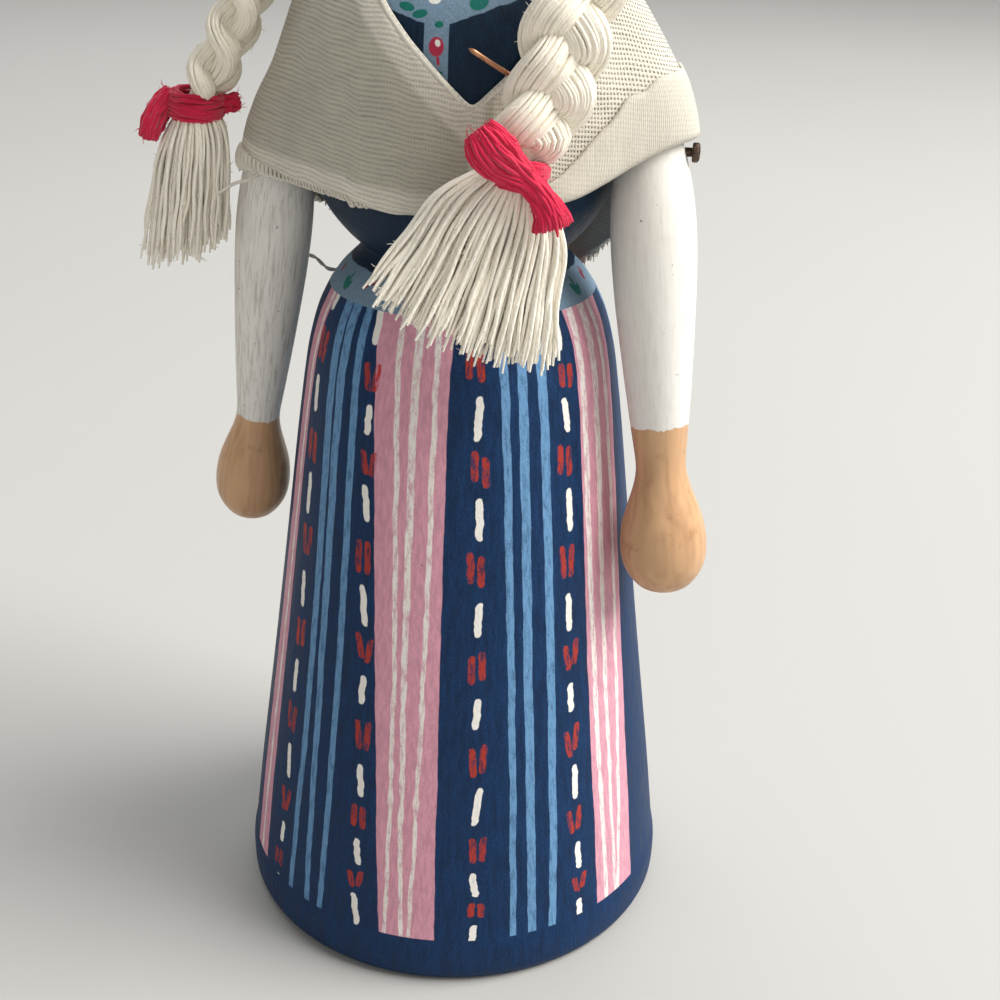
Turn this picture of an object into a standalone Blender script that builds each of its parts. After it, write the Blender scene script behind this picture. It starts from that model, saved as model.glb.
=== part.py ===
"""Turned wooden doll in folk costume, about 150 mm tall, standing on its skirt.

The doll faces -Y and stands on Z = 0 with the axis of its skirt on the Z axis.
Left and right are the doll's own.
"""
import math
import bmesh
import bpy
import numpy as np
from mathutils import Matrix, Vector

MM = 0.001

# clearances
GAP = 0.30
CLOTH_GAP = 0.45
HANG_GAP = 1.0
SHOULDER_PUFF = 0.35

# skirt, waist and bodice, one turned piece
SKIRT_R = 28.35
FOOT_CHAMFER = 1.25
RIDGE_IN = 0.35
RIDGE_Z = 6.35
SKIRT_TOP_R = 20.25
BELT_LOW_R = 15.9
BELT_TOP_R = 13.3
BELT_TOP_DOWN = 1.7
BELT_LOW_DOWN = 4.8
WAIST_Z = 88.3
WAIST_R = 12.0
BODICE_R = 17.5
BODICE_H = 32.8
NECK_R = 6.2
NECK_H = 1.3
BODY_STEPS = 36
NECK_TOP_Z = WAIST_Z + BODICE_H + NECK_H

# head
HEAD_R = 13.8
HEAD_SEAT_R = 1.065 * NECK_R
HEAD_FLAT_Z = NECK_TOP_Z + GAP
HEAD_Z = HEAD_FLAT_Z + math.sqrt(HEAD_R ** 2 - HEAD_SEAT_R ** 2)

# arms, each a share of its own length, held off the bodice and the skirt
HAND_R = 5.15
WRIST_R = 2.95
SLEEVE_R = 4.85
ARM_L = 51.0
RIGHT_ARM_GIRTH = 0.94
RIGHT_ARM_STAND = 0.05
RIGHT_HAND_STAND = 2.6
RIGHT_TOP_UP = 15.21
RIGHT_PASS_UP = 7.2
RIGHT_HAND_ANGLE = 172.3
RIGHT_PASS_ANGLE = -177.4
LEFT_ARM_GIRTH = 1.0
LEFT_ARM_STAND = 0.35
LEFT_HAND_STAND = 1.27
LEFT_TOP_UP = 17.34
LEFT_PASS_UP = 6.2
LEFT_HAND_ANGLE = -18.4
LEFT_PASS_ANGLE = -12.2

# tack through the left arm into the bodice
TACK_DOWN = 4.8
TACK_SHANK_R = 0.5
TACK_CLEARANCE = 0.2
TACK_END_GAP = 0.5
TACK_HEAD_R = 1.1
TACK_HEAD_T = 0.8
TACK_STAND = 0.95
TACK_BITE = 4.0

# shawl
SHAWL_T = 0.6
SHAWL_AROUND = 72
SHAWL_ROWS = 9
SHAWL_NECK_OUT = 2.0
SHAWL_HANG_UP = 9.7
SHAWL_HEM_UP = 7.3
SHAWL_HEM_SWEEP = 7.0
SHAWL_BACK_UP = 10.1
V_TIP_X = 3.7
V_TIP_UP = 17.7
V_BEND = 5.0
V_STEP = 1.6
BACK_TIP_DOWN = 18.3
BACK_SLOPE = 1.04

# hair
HAIR_T = 1.4
HAIR_GAP = GAP + 0.3

# plaits with their tassels and ties
BRAID_W = 4.6
RIGHT_BRAID_W = 4.0
BRAID_D = 3.1
BRAID_WAIST = 1.05
STRAND_PITCH = 5.2
TASSEL_W = 10.6
TASSEL_D = 2.9
RIGHT_TASSEL_W = 4.6
RIGHT_TASSEL_D = 5.0
TASSEL_ROOT = 2.3
TASSEL_SAG = 2.0
RIGHT_TASSEL_SAG = 0.6
TIE_R = 1.0
TIE_HALF = 1.75
TIE_MAJOR = BRAID_WAIST + GAP + TIE_R + 0.05

# copper pin and waist thread
PIN_R = 0.34
THREAD_R = 0.25

# shares of radius and height, from the neck's foot down to the waist
BODICE_SHAPE = [(0.41, 1.0), (0.629, 0.976), (0.811, 0.924), (0.926, 0.845), (0.983, 0.738),
                (1.0, 0.585), (1.0, 0.36), (0.983, 0.235), (0.917, 0.143), (0.811, 0.067), (0.726, 0.021)]

# from the skirt's top to its ridge, share of the way out and down
SKIRT_SHAPE = [(0.213, 0.220), (0.510, 0.5165), (0.819, 0.8116)]

# shares of the sleeve's radius and of the arm's length, shoulder to wrist
SLEEVE_SHAPE = [(0.0, 1.0), (0.33, 0.994), (0.535, 0.972), (0.725, 0.924), (0.88, 0.853),
                (0.969, 0.784), (1.0, 0.706), (0.959, 0.588), (0.83, 0.42), (0.67, 0.265)]

# shares of the hand's radius, wrist to fingertips
HAND_SHAPE = [(0.65, 1.456), (0.816, 0.971), (0.951, 0.505), (1.0, -0.039), (0.922, -0.505),
              (0.66, -0.92), (0.0, -1.165)]


def body_profile():
    """Outer side of the turned body, neck to foot, as (radius, height)."""
    points = [(0.0, NECK_TOP_Z), (NECK_R, NECK_TOP_Z), (NECK_R, NECK_TOP_Z - 0.77 * NECK_H)]
    points += [(share * BODICE_R, WAIST_Z + up * BODICE_H) for share, up in BODICE_SHAPE]
    belt_top = WAIST_Z - BELT_TOP_DOWN
    belt_low = WAIST_Z - BELT_LOW_DOWN
    points += [(WAIST_R, WAIST_Z), (WAIST_R + 0.38 * (BELT_TOP_R - WAIST_R), WAIST_Z - 0.53 * BELT_TOP_DOWN),
               (BELT_TOP_R, belt_top), (0.5 * (BELT_TOP_R + BELT_LOW_R), 0.58 * belt_top + 0.42 * belt_low),
               (BELT_LOW_R, belt_low)]
    fall = belt_low - RIDGE_Z
    for out, down in ((0.322, 0.0376), (0.575, 0.0868), (0.736, 0.1361), (1.0, 0.2398)):
        points.append((BELT_LOW_R + out * (SKIRT_TOP_R - BELT_LOW_R), belt_low - down * fall))
    top = belt_low - 0.2398 * fall
    ridge = SKIRT_R - RIDGE_IN
    for out, down in SKIRT_SHAPE:
        points.append((SKIRT_TOP_R + out * (ridge - SKIRT_TOP_R), top - down * (top - RIDGE_Z)))
    points += [(ridge, RIDGE_Z), (SKIRT_R, 0.72 * RIDGE_Z), (SKIRT_R, 1.6 * FOOT_CHAMFER),
               (SKIRT_R - 0.2 * FOOT_CHAMFER, 0.8 * FOOT_CHAMFER),
               (SKIRT_R - 0.52 * FOOT_CHAMFER, 0.28 * FOOT_CHAMFER), (SKIRT_R - FOOT_CHAMFER, 0.0), (0.0, 0.0)]
    return points


def arm_profile():
    """Outer side of an arm along its own axis, shoulder to hand, 0 at the hand's middle."""
    points = [(share * SLEEVE_R, along * ARM_L) for share, along in SLEEVE_SHAPE]
    points.append((WRIST_R, 0.194 * ARM_L))
    points += [(share * HAND_R, along * HAND_R) for share, along in HAND_SHAPE]
    return points


def profile_radius(profile, z):
    """Outer radius of a turned profile at a height."""
    heights = [p[1] for p in profile][::-1]
    radii = [p[0] for p in profile][::-1]
    return float(np.interp(z, heights, radii))


def around(radius, angle, z):
    """Point at a distance from the doll's axis, angle in degrees from +X."""
    a = math.radians(angle)
    return Vector((radius * math.cos(a), radius * math.sin(a), z))


BODY_PROFILE = body_profile()
ARM_PROFILE = arm_profile()
ARM_OUT = BODICE_R + SLEEVE_R
SHAWL_OUT = BODICE_R + CLOTH_GAP + SHAWL_T

RIGHT_ARM_PASS = around(BODICE_R + SLEEVE_R * RIGHT_ARM_GIRTH + RIGHT_ARM_STAND, RIGHT_PASS_ANGLE,
                        WAIST_Z + RIGHT_PASS_UP)
RIGHT_HAND_Z = WAIST_Z + RIGHT_TOP_UP - 0.9806 * ARM_L
RIGHT_HAND = around(profile_radius(BODY_PROFILE, RIGHT_HAND_Z) + HAND_R * RIGHT_ARM_GIRTH + RIGHT_HAND_STAND,
                    RIGHT_HAND_ANGLE, RIGHT_HAND_Z)
LEFT_ARM_PASS = around(BODICE_R + SLEEVE_R * LEFT_ARM_GIRTH + LEFT_ARM_STAND, LEFT_PASS_ANGLE,
                       WAIST_Z + LEFT_PASS_UP)
LEFT_HAND_Z = WAIST_Z + LEFT_TOP_UP - 0.989 * ARM_L
LEFT_HAND = around(profile_radius(BODY_PROFILE, LEFT_HAND_Z) + HAND_R * LEFT_ARM_GIRTH + LEFT_HAND_STAND,
                   LEFT_HAND_ANGLE, LEFT_HAND_Z)
TACK_Z = (LEFT_HAND + (LEFT_ARM_PASS - LEFT_HAND).normalized() * (ARM_L - TACK_DOWN)).z
SHAWL_NECK_R = NECK_R + SHAWL_NECK_OUT
SHAWL_NECK_Z = NECK_TOP_Z - 0.31 * NECK_H
SHAWL_CAP_Z = WAIST_Z + 0.884 * BODICE_H
V_TIP_Z = WAIST_Z + V_TIP_UP
V_TIP_ANGLE = math.atan2(-BODICE_R, V_TIP_X)


# helpers
def collection(name, hidden=False):
    coll = bpy.data.collections.new(name)
    bpy.context.scene.collection.children.link(coll)
    coll.hide_render = hidden
    return coll


def material(name, color, roughness, metallic=0.0):
    mat = bpy.data.materials.new(name)
    mat.use_nodes = True
    shader = mat.node_tree.nodes["Principled BSDF"]
    shader.inputs["Base Color"].default_value = (*color, 1.0)
    shader.inputs["Roughness"].default_value = roughness
    shader.inputs["Metallic"].default_value = metallic
    mat.diffuse_color = (*color, 1.0)
    return mat


def place(obj, coll, mat=None):
    for other in list(obj.users_collection):
        other.objects.unlink(obj)
    coll.objects.link(obj)
    if mat is not None:
        obj.data.materials.clear()
        obj.data.materials.append(mat)
    return obj


def mesh_object(name, bm, coll, mat=None):
    bmesh.ops.recalc_face_normals(bm, faces=bm.faces)
    mesh = bpy.data.meshes.new(name)
    bm.to_mesh(mesh)
    bm.free()
    obj = bpy.data.objects.new(name, mesh)
    return place(obj, coll, mat)


def turned(name, profile, steps, coll, mat):
    """Revolve a profile that runs down its outer side, points given as (radius, height) in mm."""
    mesh = bpy.data.meshes.new(name)
    points = [(r * MM, 0.0, z * MM) for r, z in profile]
    edges = [(i, i + 1) for i in range(len(points) - 1)]
    mesh.from_pydata(points, edges, [])
    obj = bpy.data.objects.new(name, mesh)
    place(obj, coll, mat)
    screw = obj.modifiers.new("turn", "SCREW")
    screw.axis = "Z"
    screw.angle = math.tau
    screw.steps = steps
    screw.render_steps = steps
    screw.use_merge_vertices = True
    screw.merge_threshold = 0.00002
    screw.use_smooth_shade = True
    return obj


def rings_to_body(name, rings, coll, mat):
    """Close a stack of rings of equal count into one solid, with a fan at each end."""
    bm = bmesh.new()
    loops = [[bm.verts.new(p * MM) for p in ring] for ring in rings]
    count = len(loops[0])
    for lower, upper in zip(loops, loops[1:]):
        for i in range(count):
            j = (i + 1) % count
            bm.faces.new((lower[i], lower[j], upper[j], upper[i]))
    for loop in (loops[0], loops[-1]):
        middle = bm.verts.new(sum((v.co for v in loop), Vector()) / count)
        for i in range(count):
            bm.faces.new((loop[i], loop[(i + 1) % count], middle))
    return mesh_object(name, bm, coll, mat)


def cut(target, cutter):
    mod = target.modifiers.new("cut " + cutter.name, "BOOLEAN")
    mod.operation = "DIFFERENCE"
    mod.solver = "EXACT"
    mod.object = cutter


def join(target, other):
    mod = target.modifiers.new("join " + other.name, "BOOLEAN")
    mod.operation = "UNION"
    mod.solver = "EXACT"
    mod.object = other


def cutter_look(obj):
    obj.display_type = "WIRE"
    obj.hide_render = True
    return obj


def rod(name, start, end, radius, segments, coll, mat=None):
    axis = end - start
    spin = axis.to_track_quat("Z", "Y").to_matrix().to_4x4()
    bm = bmesh.new()
    bmesh.ops.create_cone(bm, cap_ends=True, segments=segments, radius1=radius * MM,
                          radius2=radius * MM, depth=axis.length * MM)
    bmesh.ops.transform(bm, matrix=Matrix.Translation((start + end) * 0.5 * MM) @ spin, verts=bm.verts)
    return mesh_object(name, bm, coll, mat)


def ellipsoid(name, centre, radii, turn, coll, segments=16, rings=10, mat=None):
    bm = bmesh.new()
    bmesh.ops.create_uvsphere(bm, u_segments=segments, v_segments=rings, radius=1.0)
    size = Matrix.Diagonal((radii[0] * MM, radii[1] * MM, radii[2] * MM, 1.0))
    bmesh.ops.transform(bm, matrix=Matrix.Translation(centre * MM) @ turn @ size, verts=bm.verts)
    return mesh_object(name, bm, coll, mat)


# arms
def arm_axis(hand, through):
    return (through - hand).normalized()


def arm_circle(hand, through, girth, z):
    """Centre and radius of an arm's section at a height, or None above its top."""
    axis = arm_axis(hand, through)
    s = (z - hand.z) / axis.z
    if s > 0.992 * ARM_L:
        return None
    centre = hand + axis * s
    return centre.x, centre.y, girth * profile_radius(ARM_PROFILE, s) / axis.z


def arm(name, hand, through, girth, coll, mat):
    obj = turned(name, [(r * girth, z) for r, z in ARM_PROFILE], 18, coll, mat)
    spin = arm_axis(hand, through).to_track_quat("Z", "Y").to_matrix().to_4x4()
    obj.matrix_world = Matrix.Translation(hand * MM) @ spin
    return obj


# shawl
def side_width(z, left):
    """Half width of the shawl's shoulder slope, from the upper arm up to the neck."""
    up = (z - WAIST_Z) / BODICE_H
    if left:
        out = np.interp(up, [0.405, 0.573, 0.723, 0.838, 0.893], [0.897, 0.763, 0.464, 0.206, 0.093])
    else:
        out = np.interp(up, [0.390, 0.491, 0.598, 0.790, 0.893], [0.784, 0.629, 0.412, 0.165, 0.041])
    return BODICE_R + 2.0 * SLEEVE_R * float(out)


def hull_radius(theta, z):
    """Distance from the axis to the stretched cloth at one angle and height."""
    up = z - WAIST_Z
    zb = WAIST_Z + max(up, SHAWL_HANG_UP)
    za = WAIST_Z + max(up, 0.082 * BODICE_H)
    puff = float(np.interp(up / BODICE_H, [0.57, 0.723], [0.0, SHOULDER_PUFF]))
    circles = [(0.0, 0.0, profile_radius(BODY_PROFILE, zb) + CLOTH_GAP + puff)]
    for hand, through, girth, left in ((RIGHT_HAND, RIGHT_ARM_PASS, RIGHT_ARM_GIRTH, False),
                                       (LEFT_HAND, LEFT_ARM_PASS, LEFT_ARM_GIRTH, True)):
        found = arm_circle(hand, through, girth, za)
        if found:
            circles.append((found[0], found[1], found[2] + CLOTH_GAP))
        sign = 1.0 if left else -1.0
        width = side_width(WAIST_Z + max(up, 0.387 * BODICE_H), left)
        round_r = 0.95 * SLEEVE_R
        circles.append((sign * (width - round_r), (-0.206 if left else -0.091) * BODICE_R, round_r))
    best = 1e9
    for k in range(-60, 61):
        psi = theta + math.radians(k * 1.3)
        nx = math.cos(psi)
        ny = math.sin(psi)
        support = max(cx * nx + cy * ny + r for cx, cy, r in circles)
        best = min(best, support / math.cos(psi - theta))
    return best


def in_v(x, y, z):
    """True where the neckline is open."""
    if y > 0.0:
        return False
    if x < V_TIP_X:
        edge = V_TIP_Z + 1.16 * (V_TIP_X - x)
    else:
        rise = x - V_TIP_X
        edge = V_TIP_Z + (rise if rise < V_BEND else V_BEND + 2.2 * (rise - V_BEND))
    return z > edge


def hem_height(x, y):
    share = x / (ARM_OUT + SLEEVE_R)
    sweep = float(np.interp(
        share, [-1.0, -0.8, -0.48, -0.28, 0.0, 0.29, 0.51, 0.63, 0.735, 0.853, 0.956, 1.0],
        [0.257, 0.129, 0.043, 0.029, 0.0, 0.029, 0.171, 0.414, 0.686, 0.9, 0.986, 1.0]))
    front = WAIST_Z + SHAWL_HEM_UP + SHAWL_HEM_SWEEP * sweep
    back = WAIST_Z + min(BACK_SLOPE * abs(x) - BACK_TIP_DOWN, SHAWL_BACK_UP)
    side_y = (0.086 if x > 0 else 0.029) * BODICE_R
    mix = min(max((y - side_y) / (0.23 * BODICE_R), 0.0), 1.0)
    return front * (1.0 - mix) + back * mix


def shawl_path(theta):
    """Meridian of the shawl's inner side at one angle, neck to hem, as (radius, z)."""
    wide = hull_radius(theta, SHAWL_CAP_Z)
    hem = WAIST_Z + SHAWL_HEM_UP
    for _ in range(6):
        rho = hull_radius(theta, hem)
        hem = hem_height(rho * math.cos(theta), rho * math.sin(theta))
    path = [(SHAWL_NECK_R, SHAWL_NECK_Z), (0.674 * BODICE_R, SHAWL_CAP_Z + 0.128 * BODICE_H),
            (0.38 * BODICE_R + 0.5 * wide, SHAWL_CAP_Z + 0.07 * BODICE_H)]
    heights = np.linspace(SHAWL_CAP_Z, hem, 26)
    for z in heights:
        rho = hull_radius(theta, float(z))
        if z < WAIST_Z + 0.113 * BODICE_H:
            rho = max(rho, profile_radius(BODY_PROFILE, float(z)) + HANG_GAP)
        path.append((rho, float(z)))
    return path


def arc_lengths(points):
    lengths = [0.0]
    for (r0, z0), (r1, z1) in zip(points, points[1:]):
        lengths.append(lengths[-1] + math.hypot(r1 - r0, z1 - z0))
    return lengths


def shawl(coll, mat):
    paths = []
    starts = []
    for i in range(SHAWL_AROUND):
        theta = V_TIP_ANGLE + math.tau * i / SHAWL_AROUND
        path = shawl_path(theta)
        lengths = arc_lengths(path)
        marks = np.linspace(0.0, lengths[-1], 400)
        fine = list(zip(np.interp(marks, lengths, [f[0] for f in path]),
                        np.interp(marks, lengths, [f[1] for f in path])))
        start = 0.0
        for mark, (r, z) in zip(marks, fine):
            if in_v(r * math.cos(theta), r * math.sin(theta), z):
                start = mark
        paths.append((theta, path, lengths))
        starts.append(start)
    for _ in range(SHAWL_AROUND):
        for i in range(SHAWL_AROUND):
            near = max(starts[i - 1], starts[(i + 1) % SHAWL_AROUND])
            starts[i] = max(starts[i], near - V_STEP)
    columns = []
    for (theta, path, lengths), start in zip(paths, starts):
        marks = np.linspace(start, lengths[-1], SHAWL_ROWS)
        radii = np.interp(marks, lengths, [f[0] for f in path])
        heights = np.interp(marks, lengths, [f[1] for f in path])
        columns.append([Vector((r * math.cos(theta), r * math.sin(theta), z))
                        for r, z in zip(radii, heights)])
    bm = bmesh.new()
    grid = [[bm.verts.new(p * MM) for p in column] for column in columns]
    for i in range(SHAWL_AROUND):
        j = (i + 1) % SHAWL_AROUND
        for k in range(SHAWL_ROWS - 1):
            bm.faces.new((grid[i][k], grid[i][k + 1], grid[j][k + 1], grid[j][k]))
    mesh = bpy.data.meshes.new("shawl")
    bm.to_mesh(mesh)
    bm.free()
    obj = bpy.data.objects.new("shawl", mesh)
    place(obj, coll, mat)
    thick = obj.modifiers.new("cloth", "SOLIDIFY")
    thick.thickness = SHAWL_T * MM
    thick.offset = 1.0
    thick.use_rim = True
    thick.use_even_offset = True
    return obj


# hair
def hair_edge(angle):
    """Lowest elevation of the hair on the head, by angle round it, 0 at the face."""
    a = abs(math.degrees(angle))
    return math.radians(float(np.interp(a, [0, 25, 50, 75, 95, 120, 180], [42, 38, 24, -6, -30, -38, -40])))


def hair(coll, mat):
    columns = 28
    rows = 7
    inner = HEAD_R + HAIR_GAP
    bm = bmesh.new()
    top = bm.verts.new(Vector((0.0, 0.0, (HEAD_Z + inner) * MM)))
    grid = []
    for i in range(columns):
        angle = -math.pi + math.tau * i / columns
        low = hair_edge(angle)
        column = []
        for k in range(1, rows + 1):
            elevation = math.pi / 2 + (low - math.pi / 2) * k / rows
            flat = inner * math.cos(elevation)
            column.append(bm.verts.new(Vector((flat * math.sin(angle), -flat * math.cos(angle),
                                               HEAD_Z + inner * math.sin(elevation))) * MM))
        grid.append(column)
    for i in range(columns):
        j = (i + 1) % columns
        bm.faces.new((top, grid[i][0], grid[j][0]))
        for k in range(rows - 1):
            bm.faces.new((grid[i][k], grid[i][k + 1], grid[j][k + 1], grid[j][k]))
    bmesh.ops.recalc_face_normals(bm, faces=bm.faces)
    mesh = bpy.data.meshes.new("hair")
    bm.to_mesh(mesh)
    bm.free()
    obj = bpy.data.objects.new("hair", mesh)
    place(obj, coll, mat)
    thick = obj.modifiers.new("lock", "SOLIDIFY")
    thick.thickness = HAIR_T * MM
    thick.offset = 1.0
    thick.use_rim = True
    return obj


# plaits
def smooth_path(points, count):
    """Catmull-Rom points through the given ones, evenly spread by count."""
    pts = [points[0] * 2 - points[1]] + points + [points[-1] * 2 - points[-2]]
    out = []
    spans = len(points) - 1
    for n in range(count):
        u = n / (count - 1) * spans
        k = min(int(u), spans - 1)
        t = u - k
        a, b, c, d = pts[k], pts[k + 1], pts[k + 2], pts[k + 3]
        out.append(0.5 * ((2 * b) + (c - a) * t + (2 * a - 5 * b + 4 * c - d) * t * t
                          + (3 * b - a - 3 * c + d) * t ** 3))
    return out


def plait(name, points, wide, face, end_wide, width, depth, flare, coll, mat):
    """Three-strand plait, waist under the tie and flared tassel as one closed body.

    points run from the head to the tie and on to the tassel's end; wide is the direction
    the plait is broad in, face the direction its flat side looks and end_wide the direction
    the tassel fans out in.
    """
    tie = points[-2]
    end = points[-1]
    drop = end - tie
    down = drop.normalized()
    upper = smooth_path(points[:-2] + [tie - down * (1.83 * TIE_HALF)], 24)
    rings = []
    sides = 12
    total = sum((b - a).length for a, b in zip(upper, upper[1:]))
    length = 0.0
    for n, centre in enumerate(upper):
        if n:
            length += (centre - upper[n - 1]).length
        left_over = total - length
        swell = 0.5 + 0.5 * min(1.0, left_over / (0.77 * depth))
        start = 0.45 + 0.55 * min(1.0, length / (1.29 * depth))
        phase = length / STRAND_PITCH * math.pi
        ring = []
        for i in range(sides):
            a = math.tau * i / sides
            bulge = 0.13 * math.cos(phase) * math.cos(a) + 0.05 * math.cos(2 * phase)
            w = width * (1.0 + bulge) * swell * start
            d = depth * (1.0 + 0.12 * math.sin(phase * 2.0)) * swell * start
            sx = math.copysign(abs(math.cos(a)) ** 0.85, math.cos(a))
            sy = math.copysign(abs(math.sin(a)) ** 0.85, math.sin(a))
            ring.append(centre + wide * (w * sx) + face * (d * sy))
        rings.append(ring)
    for centre in (tie - down * (1.37 * TIE_HALF), tie, tie + down * (1.37 * TIE_HALF)):
        rings.append([centre + wide * (BRAID_WAIST * math.cos(math.tau * i / sides))
                      + face * (BRAID_WAIST * math.sin(math.tau * i / sides)) for i in range(sides)])
    for t in (0.24, 0.36, 0.55, 0.75, 0.93, 1.0):
        centre = tie + drop * t
        spread = (t - 0.1) / 0.9
        w = TASSEL_ROOT + (flare[0] - TASSEL_ROOT) * spread ** 0.8
        d = TASSEL_ROOT + (flare[1] - TASSEL_ROOT) * spread ** 0.8
        ring = []
        for i in range(sides):
            a = math.tau * i / sides
            ridge = 1.0 + 0.06 * math.cos(i * 2.4 + 1.0) * spread
            sink = down * (-flare[2] * math.cos(a) ** 2 * spread)
            ring.append(centre + end_wide * (w * ridge * math.cos(a)) + face * (d * ridge * math.sin(a)) + sink)
        rings.append(ring)
    return rings_to_body(name, rings, coll, mat)


def ring_tie(name, centre, along, wide, lobes, coll, cutters, mat):
    """Yarn wound round the plait with its knot and ends, the lobes given in yarn radii."""
    face = along.cross(wide).normalized()
    turn = Matrix((wide, face, along)).transposed().to_4x4()
    bm = bmesh.new()
    major = 16
    minor = 6
    loops = []
    for i in range(major):
        a = math.tau * i / major
        out = Vector((math.cos(a), math.sin(a), 0.0))
        loop = []
        for j in range(minor):
            b = math.tau * j / minor
            p = out * (TIE_MAJOR + TIE_R * math.cos(b)) + Vector((0, 0, 1)) * (TIE_HALF * math.sin(b))
            loop.append(bm.verts.new((centre + turn.to_3x3() @ p) * MM))
        loops.append(loop)
    for i in range(major):
        for j in range(minor):
            a, b = loops[i], loops[(i + 1) % major]
            k = (j + 1) % minor
            bm.faces.new((a[j], b[j], b[k], a[k]))
    obj = mesh_object(name, bm, coll, mat)
    for n, (offset, radii) in enumerate(lobes):
        lobe = ellipsoid(name + " lobe %d" % (n + 1), centre + turn.to_3x3() @ Vector(offset) * TIE_R,
                         [r * TIE_R for r in radii], turn, cutters, 10, 6)
        cutter_look(lobe)
        join(obj, lobe)
    return obj


def tube(name, points, radius, coll, mat, resolution=2):
    curve = bpy.data.curves.new(name, "CURVE")
    curve.dimensions = "3D"
    curve.bevel_depth = radius * MM
    curve.bevel_resolution = resolution
    curve.use_fill_caps = True
    spline = curve.splines.new("POLY")
    spline.points.add(len(points) - 1)
    for point, place_at in zip(spline.points, points):
        point.co = (*(place_at * MM), 1.0)
    obj = bpy.data.objects.new(name, curve)
    place(obj, coll, mat)
    return obj


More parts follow.
